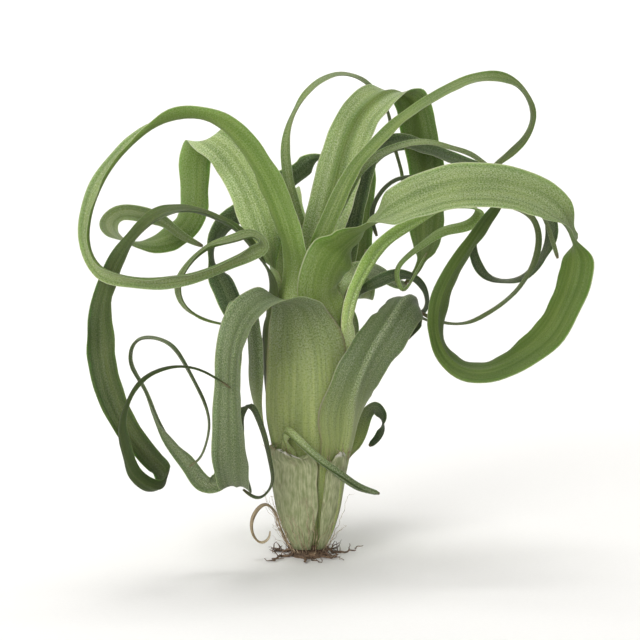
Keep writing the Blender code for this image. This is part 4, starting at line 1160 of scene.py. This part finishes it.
def add_camera():
    """Looks at the plant from the front and a little above."""
    camera = add_object("camera", bpy.data.cameras.new("camera"))
    camera.data.lens = LENS
    camera.data.sensor_width = SENSOR
    camera.data.clip_start = 0.01
    away = Vector((0, -math.cos(CAMERA_RISE), math.sin(CAMERA_RISE))) * CAMERA_DISTANCE
    aim(camera, Vector(CAMERA_TARGET) + away, CAMERA_TARGET)
    bpy.context.scene.camera = camera


def add_stage():
    """The floor, an even white sky, the lights and the camera."""
    add_floor()
    world = bpy.data.worlds.new("soft_white")
    world.use_nodes = True
    sky = world.node_tree.nodes["Background"].inputs
    sky["Color"].default_value = (1, 1, 1, 1)
    sky["Strength"].default_value = WORLD_STRENGTH
    bpy.context.scene.world = world
    for name, light in LIGHTS.items():
        add_light(name, *light)
    add_camera()
    bpy.context.scene.view_settings.view_transform = "Standard"


def add_piece(name, mesh, material, slot, *nodes):
    """A finished piece that stands for its CAD nodes and rides on the plant's one body."""
    mesh.materials.clear()
    mesh.materials.append(material)
    piece = add_object(name, mesh)
    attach(piece, "root")
    if nodes:
        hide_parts(*nodes)


def leaf_mesh(name, leaf, draw):
    """A leaf's mesh, with its place on the leaf as a UV map and as values for its material."""
    rows, spread, place = leaf_surface(leaf, draw, CREASES.get(name))
    lightness_and_painted_light, silver = LEAF_TONES_AND_PAINTED_LIGHT.get(name, (1.0, 1.0))
    # The painted crease light raises the silver coat and the lightness along a crease, and lowers them
    # where it is negative.
    coated = silver * (1 + place[..., 3])
    place[..., 3] = lightness_and_painted_light * (1 + CREASE_PAINTED_LIGHT * place[..., 3])
    faces = [face[::-1] for face in tube_faces(*rows.shape[:2])]  # a leaf's rows run clockwise
    mesh = row_mesh(name, rows, faces)
    corner = np.empty(len(mesh.loops), np.int32)
    mesh.loops.foreach_get("vertex_index", corner)
    mesh.uv_layers.new(name="leaf").data.foreach_set("uv", spread.reshape(-1, 2)[corner].ravel())
    mesh.attributes.new("place", "FLOAT_COLOR", "POINT").data.foreach_set("color", place.ravel())
    mesh.attributes.new("silver", "FLOAT", "POINT").data.foreach_set("value", coated.ravel())
    mesh.shade_smooth()
    return mesh


def add_leaves():
    materials = {slot: leaf_material(slot, *look) for slot, look in LEAF_LOOKS.items()}
    for slot, look in PAPERY_LOOKS.items():
        materials[slot] = papery_material(slot, *look)
    for index, (name, leaf) in enumerate(LEAVES.items()):
        mesh = leaf_mesh(name, leaf, np.random.default_rng(LEAF_SEED + index))
        add_piece(name + "_blade", mesh, materials[leaf.slot], leaf.slot, name)


def add_roots():
    """The stem with its foot, the roots, and the dry fibres of old sheaths round the foot of the bulb."""
    draw = np.random.default_rng(ROOT_SEED)
    lines = {"wiry_roots": [main_root(index, draw) for index in range(ROOT_COUNT)]}
    lines["fine_roots"] = [fine_root(draw) for _ in range(FINE_ROOT_COUNT)]
    lines["dry_fibres"] = [old_fibre(draw) for _ in range(FIBRE_COUNT)]
    for leaf in LEAVES.values():
        if leaf.hugs:
            lines["dry_fibres"] += [edge_shred(leaf, draw) for _ in range(SHRED_COUNT)]
    looks = {name: fibre_material(name, *look) for name, look in FIBRE_LOOKS.items()}
    add_piece("stem_core", stem_mesh(draw), looks["root_fibre"], "root_fibre", "stem_and_roots")
    growth = strand_growth()
    for name, (look, slot, radius, wander, sprouts, reach, seed) in STRANDS.items():
        values = {"Thickness": radius * MM, "Wander": wander * MM, "Sprouts": sprouts}
        values.update({"Sprout reach": reach * MM, "Seed": seed, "Material": looks[look]})
        strands = growth.run(name, line_mesh(name, lines[name]), values)
        add_piece(name, strands, looks[look], slot)


def main():
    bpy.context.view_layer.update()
    add_leaves()
    add_roots()
    add_stage()


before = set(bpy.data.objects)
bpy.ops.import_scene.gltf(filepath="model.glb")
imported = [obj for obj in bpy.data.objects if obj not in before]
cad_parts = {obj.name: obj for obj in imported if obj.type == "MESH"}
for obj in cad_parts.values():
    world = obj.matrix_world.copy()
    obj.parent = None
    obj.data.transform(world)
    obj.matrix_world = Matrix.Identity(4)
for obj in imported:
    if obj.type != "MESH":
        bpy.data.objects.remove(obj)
main()
